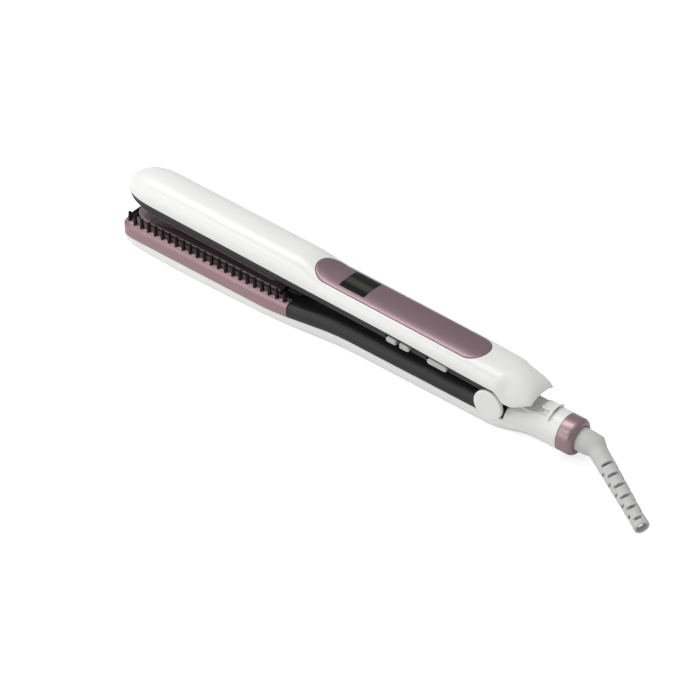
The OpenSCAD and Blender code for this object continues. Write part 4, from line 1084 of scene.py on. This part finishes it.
    def skin_patch(self, name: str, outlines: list[Flat], drops: list[float], lift: float,
                   thickness: float) -> Piece:
        """Returns a piece that lies in the casing's crown.

        Args:
            name: the piece's name.
            outlines: outlines from the rim inwards, with as many points each.
            drops: how far each outline lies below the skin.
            lift: height of the whole piece above the skin.
            thickness: depth of its underside below the skin.
        """
        crown = CURVES.crown_at
        rings = [[(x, y, crown(x, y) - thickness) for x, y in outlines[0]]]
        rings += [[(x, y, crown(x, y) + lift - drop) for x, y in outline]
                  for outline, drop in zip(outlines, drops)]
        return Draft(Arm.UPPER).skin(rings).finish(name)

    def panel(self) -> Piece:
        """Returns the satin panel in the casing's crown, with a softened edge."""
        insets = [0.1, 0.13, 0.22, 0.36, 0.55, 0.8, 1.3, 2.0, 3.0, 4.2, 5.5, 6.8, 8.0, 9.0, 9.29]
        edge = 0.7
        outlines = [bar(o - self.panel_front, -self.panel_rear - o, self.panel_w - 2 * o, 40, 90)
                    for o in insets]
        drops = [edge * (1 - math.sqrt(1 - max(0.0, 1 - (o - 0.1) / edge) ** 2)) for o in insets]
        piece = self.skin_patch("grip_panel_mauve", outlines, drops, 0.05, 1.0)
        Draft(Arm.UPPER).slab(self.window_outline(0), 10, 30).cut_from(piece, "window_hole")
        return piece

    def window_outline(self, gap: float) -> Flat:
        """Returns the window's outline, inset by gap, with close points along its sides."""
        front = -self.panel_front + self.window_setback
        corners = box_outline(front + gap, front + self.window_len - gap, gap - self.window_near,
                              self.window_far - gap, max(0.02, 0.6 - gap), 4)
        out = []
        for a, b in zip(corners, corners[1:] + corners[:1]):
            steps = max(1, int(math.dist(a, b) / 0.7))
            out += [(mix(a[0], b[0], i / steps), mix(a[1], b[1], i / steps)) for i in range(steps)]
        return out

    def window(self) -> Piece:
        """Returns the glossy display window, set in the panel."""
        outer = self.window_outline(0.1)
        cx = -self.panel_front + self.window_setback + self.window_len / 2
        cy = (self.window_far - self.window_near) / 2
        shares = [1.0, 0.995, 0.985, 0.95, 0.85, 0.7, 0.5, 0.3, 0.12, 0.01]
        outlines = [[(cx + (x - cx) * t, cy + (y - cy) * t) for x, y in outer] for t in shares]
        drops = [0.1, 0.04] + [0.0] * (len(shares) - 2)
        return self.skin_patch("display_window_glass", outlines, drops, 0.06, 0.6)

    def plate(self) -> Piece:
        """Returns the floating heated plate."""
        made = Draft(Arm.UPPER).slab(bar(-self.plate_front, -self.plate_rear, self.plate_w, 40),
                                     self.face, self.face + 2, 0, 0.5)
        return made.finish("upper_heated_plate")

    def key_outline(self, key: Key) -> Flat:
        """Returns a button's outline in its own plane."""
        r, half = self.button_h / 2, key.length / 2
        points: Flat = []
        for end, start, is_round in ((1, -90, key.round_rear), (-1, 90, key.round_front)):
            corner = r if is_round else 0.35
            for turn in (0, 1):
                points += arc(end * (half - corner), (r - corner) * (2 * turn - 1) * end, corner,
                              start + 90 * turn, 90, 8)
        clean = [points[0]] + [b for a, b in zip(points, points[1:]) if math.dist(a, b) > 1e-4]
        return clean if math.dist(clean[0], clean[-1]) > 1e-4 else clean[:-1]

    def on_side(self, x: float) -> Placing:
        """Returns the placing of a form on the near side at x, with its height outwards."""
        return lambda a, b, h: (x + a, -self.cover_side - h, self.button_mid + b)

    def button(self, key: Key) -> Piece:
        """Returns a button cap with softened edges, its flange and its stem."""
        place, half = self.on_side(key.x), key.length / 2
        made = Draft(Arm.UPPER).slab(self.key_outline(key), -1.9, self.button_proud, 0.45, place=place)
        made.slab(box_outline(-half - 0.5, half + 0.5, -0.2, 1.9), -2.35, -1.65, place=place)
        return made.lathe(disc(1, -3.8, -2), place, 24).finish(key.name)


@dataclass
class Hinge(SubAssembly):
    """Round caps over the hinge pin, with the pin and its spring."""

    cap_r: float = 8.4
    seat: float = 12.3
    edge_r: float = 0.6
    face: float = 14.2

    def build(self) -> None:
        """Builds the hinge's pieces."""
        self.publish(self.cap("hinge_disc_near", -1), Slot.CASING, "hinge_cap_near")
        self.publish(self.cap("hinge_disc_far", 1), Slot.CASING, "hinge_cap_far")
        self.carry(Slot.STEEL, "hinge_pin", "opening_spring")

    def cap(self, name: str, side: int) -> Piece:
        """Returns a disc with a softened edge; side is -1 for the near side."""
        r = self.cap_r
        edge = arc(r - self.edge_r, self.face - self.edge_r, self.edge_r, 0, 90, 5)
        profile = [(0.0, self.seat), (r, self.seat), (r, self.seat + 0.3)] + edge
        profile += [(5.0, self.face), (2.5, self.face), (0.0, self.face)]
        return Draft(Arm.LOWER).lathe(profile, sideways(side), 96).finish(name)


@dataclass
class Tail(SubAssembly):
    """Cover of the round tail, the lock slide and the collar ring."""

    front: float = 8.8
    recess_h: float = 2.6
    recess_w: float = 10.8
    recess_rear: float = 31.0
    lip_front: float = 29.8
    lip_rear: float = 31.3
    collar_end: float = 46.3
    collar_bore_r: float = 6.65

    def build(self) -> None:
        """Builds the tail's pieces."""
        self.publish(self.cover(), Slot.CASING, "tail_cover")
        self.publish(self.slide(), Slot.CASING, "lock_slide", "lock")
        self.publish(self.collar(), Slot.COLLAR, "cord_collar")
        self.carry(Slot.BRASS, "contact_brushes")

    def row(self, x: float, gap: float) -> Ring:
        """Returns the tail cover's skin at x, inset by gap."""
        c = CURVES
        return arch(x, c.lower_w(x) - gap, c.lower_part(x) + 0.1,
                    c.tail_crown(x) - c.lower_part(x) - gap, 2, self.arc_steps)

    def cover(self) -> Piece:
        """Returns the tail cover with the slide's recess."""
        marks = [self.front] + stations(self.front, (26, 26), (CURVES.tail_end, 10))
        piece = shell("tail_cover_white", Arm.LOWER, self.row, CURVES.wall, 0.05, -1, marks)
        half, low = self.recess_w / 2, self.recess_h
        well = Draft(Arm.LOWER).slab(box_outline(13, self.recess_rear, -half, half, 0.8), low - 0.8, 14)
        well.cut_from(piece, "slide_recess")
        floor = box_outline(12, self.recess_rear, -half - 0.8, half + 0.8)
        return Draft(Arm.LOWER, piece).slab(floor, low - 1.5, low).keep()

    def slide(self) -> Piece:
        """Returns the lock slide: thumb lip, plate in the recess and hook."""
        r0, r1 = CURVES.tail_r + 0.35, CURVES.tail_r + 1.6
        front, rear = self.lip_front, self.lip_rear
        rings = []
        for i in range(41):
            a = math.radians(-40 + 2 * i)
            top = r0 + (r1 - r0) * (1 - 0.35 * abs(i / 20 - 1) ** 6)
            section = [(front, r0), (front, top - 0.4), (front + 0.12, top - 0.12), (front + 0.4, top),
                       (rear - 0.4, top), (rear - 0.12, top - 0.12), (rear, top - 0.4), (rear, r0)]
            rings.append([(x, r * math.sin(a), r * math.cos(a) - CURVES.tail_drop)
                          for x, r in section])
        made = Draft(Arm.LOWER).skin(rings)
        made.slab(box_outline(23.4, 30.65, -5.05, 5.05, 0.5), 2.8, 3.7, 0.2)
        made.slab(box_outline(26.2, 30.4, -3.5, 3.5, 0.3), 2.9, 5.65)
        made.slab(box_outline(24.8, rear, -3.5, 3.5, 0.3), 5.35, 6.4, 0.25)
        return made.finish("lock_slide_white")

    def collar(self) -> Piece:
        """Returns the ring round the cord outlet."""
        at, end, r, bore = CURVES.tail_end, self.collar_end, CURVES.tail_r, self.collar_bore_r
        dome = [(r - 2.75 * (1 - math.cos(math.radians(a))), end - 2.9 + 2.9 * math.sin(math.radians(a)))
                for a in range(0, 91, 9)]
        profile = ([(bore, at - 3.5), (8.2, at - 3.5), (8.2, at + 0.1), (r - 0.25, at + 0.1),
                    (r - 0.07, at + 0.17), (r, at + 0.35)] + dome + [(6.8, end), (bore, end - 0.3)])
        ring = Draft(Arm.LOWER).lathe(profile, lengthwise(-CURVES.tail_drop), 96)
        return ring.finish("collar_ring_mauve", FINE_CREASE_DEG)


@dataclass
class CordOutlet(SubAssembly):
    """Swivelling sleeve of the cord: a shank, a mitred bend and a slotted taper."""

    body: str = "cord_swivel"
    bend_deg: float = 30.5
    turn_deg: float = 71.9
    shank_x: float = 34.1
    elbow_x: float = 54.5
    shank_r: float = 6.3
    root_r: float = 4.8
    end_r: float = 3.6
    bore_r: float = 3.0
    length: float = 52.0
    flange: float = 2.4
    neck_z: float = 4.4
    slots: int = 6
    slot_w: float = 1.6
    slot_len: float = 5.6
    slot_start: float = 0.265
    slot_step: float = 0.13
    steps: int = 72

    def build(self) -> None:
        """Builds the outlet's pieces."""
        self.publish(self.sleeve(), Slot.SLEEVE, "strain_relief")
        self.carry(Slot.SLEEVE, "swivel_bush")
        self.carry(Slot.BRASS, "contact_rings")

    def axes(self, share: float) -> tuple[Vector, Vector, Vector]:
        """Returns the inward, sideways and forward directions after a share of the bend."""
        b, t = math.radians(self.bend_deg * share), math.radians(self.turn_deg)
        forward = Vector((math.cos(b), -math.sin(b) * math.sin(t), -math.sin(b) * math.cos(t)))
        inward = Vector((-math.sin(b), -math.cos(b) * math.sin(t), -math.cos(b) * math.cos(t)))
        return inward, Vector((0, math.cos(t), -math.sin(t))), forward

    def axis(self, x: float) -> Vector:
        """Returns the point of the tail's axis at x."""
        return Vector((x, 0, -CURVES.tail_drop))

    def ring(self, centre: Vector, share: float, r: float, stretch: float = 1.0) -> Ring:
        """Returns a ring round the sleeve's line at a share of the bend."""
        inward, side, _ = self.axes(share)
        turns = [math.tau * i / self.steps for i in range(self.steps)]
        return [tuple(centre + r * stretch * math.cos(a) * inward - r * math.sin(a) * side) for a in turns]

    def radius(self, z: float) -> float:
        """Returns the sleeve's radius at z along its straight part."""
        flared = 0.4 if z > self.length - self.flange + 0.01 else 0.0
        return mix(self.root_r, self.end_r, z / self.length) + flared

    def skin_radius(self, z: float) -> float:
        """Returns the radius with the fine waves between the slots and the softened end."""
        end, neck = self.length, self.length - self.flange
        wave = 0.5 - 0.5 * math.cos(math.tau * (z / end - self.slot_start + 0.065) / self.slot_step)
        swell = 0.16 * wave * ease(z, 0.18 * end, 0.22 * end) * (1 - ease(z, neck - 1.6, neck - 0.6))
        soft = 0.15 if z > end - 0.05 else (0.04 if z > end - 0.2 else 0.0)
        return self.radius(z) + swell - soft

    def sleeve(self) -> Piece:
        """Returns the ribbed sleeve with its bore and slots."""
        elbow = self.axis(self.elbow_x)
        inward, side, forward = self.axes(1)
        end, neck = self.length, self.length - self.flange
        outer = [self.ring(self.axis(x), 0, self.shank_r) for x in (self.shank_x, 40, 46, self.elbow_x - 4.2)]
        outer.append(self.ring(elbow, 0.5, self.shank_r - 0.4, 1 / math.cos(math.radians(self.bend_deg / 2))))
        for z in (2.6, 3.4, self.neck_z):
            outer.append(self.ring(elbow + z * forward, 1, mix(self.shank_r - 0.8, self.radius(self.neck_z),
                                                               ease(z, 0.5, self.neck_z))))
        outer += [self.ring(elbow + z * forward, 1, self.skin_radius(z))
                  for z in stations(self.neck_z, (neck - 0.1, 120))
                  + [neck, neck + 0.03, neck + 0.3, end - 0.35, end - 0.1, end]]
        inner = [self.ring(elbow + end * forward, 1, self.bore_r),
                 self.ring(elbow + 2 * forward, 1, self.bore_r),
                 self.ring(self.axis(self.elbow_x - 2), 0, self.bore_r - 0.2),
                 self.ring(self.axis(self.shank_x), 0, self.bore_r - 0.2)]
        piece = Draft(Arm.LOWER).skin(outer + inner, along=True).finish("cord_sleeve")
        cuts = Draft(Arm.LOWER)
        for u, v, count, shift in ((inward, side, self.slots, 0.0), (side, -1 * inward, self.slots - 1, 0.5)):
            for i in range(count):
                z0 = self.length * (self.slot_start + self.slot_step * (i + shift))
                slot = box_outline(-self.slot_len / 2, self.slot_len / 2, z0, z0 + self.slot_w, 0.3, 3)
                for sign in (1, -1):
                    cuts.slab(slot, self.bore_r - 0.4, 12, place=lambda a, b, h, u=u, v=v, s=sign: tuple(
                        elbow + a * u + s * h * v + b * forward))
        cuts.cut_from(piece, "sleeve_slots")
        return piece


@dataclass(frozen=True)
class Softbox:
    """A rectangular lamp, in metres and watts."""

    name: str
    at: Point
    towards: Point
    size: Pair
    watts: float

    def build(self) -> None:
        """Adds the lamp."""
        data = bpy.data.lights.new(self.name, "AREA")
        data.shape, data.energy = "RECTANGLE", self.watts
        data.size, data.size_y = self.size
        made = bpy.data.objects.new(self.name, data)
        way = Vector(self.towards) - Vector(self.at)
        made.matrix_world = (Matrix.Translation(self.at)
                             @ way.to_track_quat("-Z", "Y").to_matrix().to_4x4())
        bpy.context.scene.collection.objects.link(made)


@dataclass
class Studio:
    """Camera at the photograph's angle, soft lamps, pale floor and white surroundings."""

    focal_px: float = 2351.16
    eye_mm: Point = (611.623, -724.401, 765.570)
    right: Point = (0.77165449, 0.63604194, -0.00001595)
    up: Point = (-0.40437121, 0.49060786, 0.77187296)
    look: Point = (-0.49095139, 0.59561278, -0.63577681)
    floor_z_mm: float = -0.15
    floor_half_m: float = 4.0
    floor_glow: float = 0.62
    world_low: float = 0.36
    world_high: float = 0.5
    lamps: tuple[Softbox, ...] = (
        Softbox("key_softbox", (-0.61, -0.06, 1.08), (0.0, 0.0, 0.0), (0.5, 0.95), 5.6),
        Softbox("overhead_softbox", (0.05, 0.1, 1.5), (0.0, 0.0, 0.0), (1.4, 0.7), 1.5),
        Softbox("front_fill", (-0.8, -1.5, 0.36), (-0.1, 0.0, 0.0), (1.5, 0.55), 4.8),
        Softbox("side_strip", (-0.58, -0.82, 0.79), (-0.58, 0.0, 0.0), (0.75, 0.2), 1.9))

    def camera(self) -> None:
        """Adds the camera: its place, turn and lens come from the photograph's perspective."""
        data = bpy.data.cameras.new("photo_camera")
        data.sensor_width = SENSOR_MM
        data.lens = self.focal_px / IMAGE_PX * SENSOR_MM
        data.clip_start, data.clip_end = 0.05, 20.0
        made = bpy.data.objects.new("photo_camera", data)
        turn = Matrix((self.right, self.up, tuple(-v for v in self.look))).transposed()
        made.matrix_world = Matrix.Translation(Vector(self.eye_mm) / 1000) @ turn.to_4x4()
        bpy.context.scene.collection.objects.link(made)
        bpy.context.scene.camera = made

    def surroundings(self) -> None:
        """Sets a soft world that is brighter overhead, and white where a lens looks at it."""
        world = bpy.data.worlds.new("studio_white")
        bpy.context.scene.world = world
        tree = clean_tree(world)
        where = add_node(tree, "ShaderNodeTexCoord")
        split = add_node(tree, "ShaderNodeSeparateXYZ", links={"Vector": where.outputs["Generated"]})
        level = add_node(tree, "ShaderNodeMapRange",
                         {"From Min": -0.1, "From Max": 0.95, "To Min": self.world_low,
                          "To Max": self.world_high, "interpolation_type": "SMOOTHSTEP"},
                         {"Value": split.outputs["Z"]})
        path = add_node(tree, "ShaderNodeLightPath")
        soft = add_node(tree, "ShaderNodeBackground", {"Color": WHITE}, {"Strength": level.outputs["Result"]})
        white = add_node(tree, "ShaderNodeBackground", {"Color": WHITE, "Strength": 1.0})
        blend = add_node(tree, "ShaderNodeMixShader", links={0: path.outputs["Is Camera Ray"],
                                                             1: soft.outputs[0], 2: white.outputs[0]})
        add_node(tree, "ShaderNodeOutputWorld", links={"Surface": blend.outputs[0]})

    def paper(self) -> Material:
        """Returns the floor's material, which glows to the lens only and still takes a shadow."""
        material = bpy.data.materials.new("white_paper_sweep")
        tree = clean_tree(material)
        plain = add_node(tree, "ShaderNodeBsdfDiffuse", {"Color": (0.88, 0.88, 0.88, 1)})
        glow = add_node(tree, "ShaderNodeEmission", {"Color": WHITE, "Strength": self.floor_glow})
        path = add_node(tree, "ShaderNodeLightPath")
        seen = add_node(tree, "ShaderNodeMath", {"operation": "MAXIMUM"},
                        {0: path.outputs["Is Camera Ray"], 1: path.outputs["Is Transmission Ray"]})
        lit = add_node(tree, "ShaderNodeAddShader", links={0: plain.outputs[0], 1: glow.outputs[0]})
        blend = add_node(tree, "ShaderNodeMixShader",
                         links={0: seen.outputs[0], 1: plain.outputs[0], 2: lit.outputs[0]})
        add_node(tree, "ShaderNodeOutputMaterial", links={"Surface": blend.outputs[0]})
        return material

    def floor(self) -> None:
        """Adds the pale floor."""
        bm = bmesh.new()
        bmesh.ops.create_grid(bm, x_segments=8, y_segments=8, size=self.floor_half_m)
        mesh = bpy.data.meshes.new("studio_floor")
        bm.to_mesh(mesh)
        bm.free()
        made = bpy.data.objects.new("studio_floor", mesh)
        made.location = (0, 0, self.floor_z_mm / 1000)
        bpy.context.scene.collection.objects.link(made)
        mesh.materials.append(self.paper())

    def build(self) -> None:
        """Sets the whole studio."""
        self.camera()
        self.surroundings()
        self.floor()
        for lamp in self.lamps:
            lamp.build()


def main() -> None:
    """Builds the studio and the brush."""
    logging.basicConfig(level=logging.INFO, format="%(name)s: %(message)s")
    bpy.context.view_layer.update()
    bpy.context.scene.view_settings.view_transform = "Standard"
    Studio().build()
    finishes = {slot: slot.finish.build() for slot in Slot}
    for group in (LowerArm, UpperArm, Hinge, Tail, CordOutlet):
        assembly = group(finishes)
        assembly.build()
        log.info("%s: %d pieces", group.__name__, len(assembly.made))


if __name__ == "__main__":
    main()
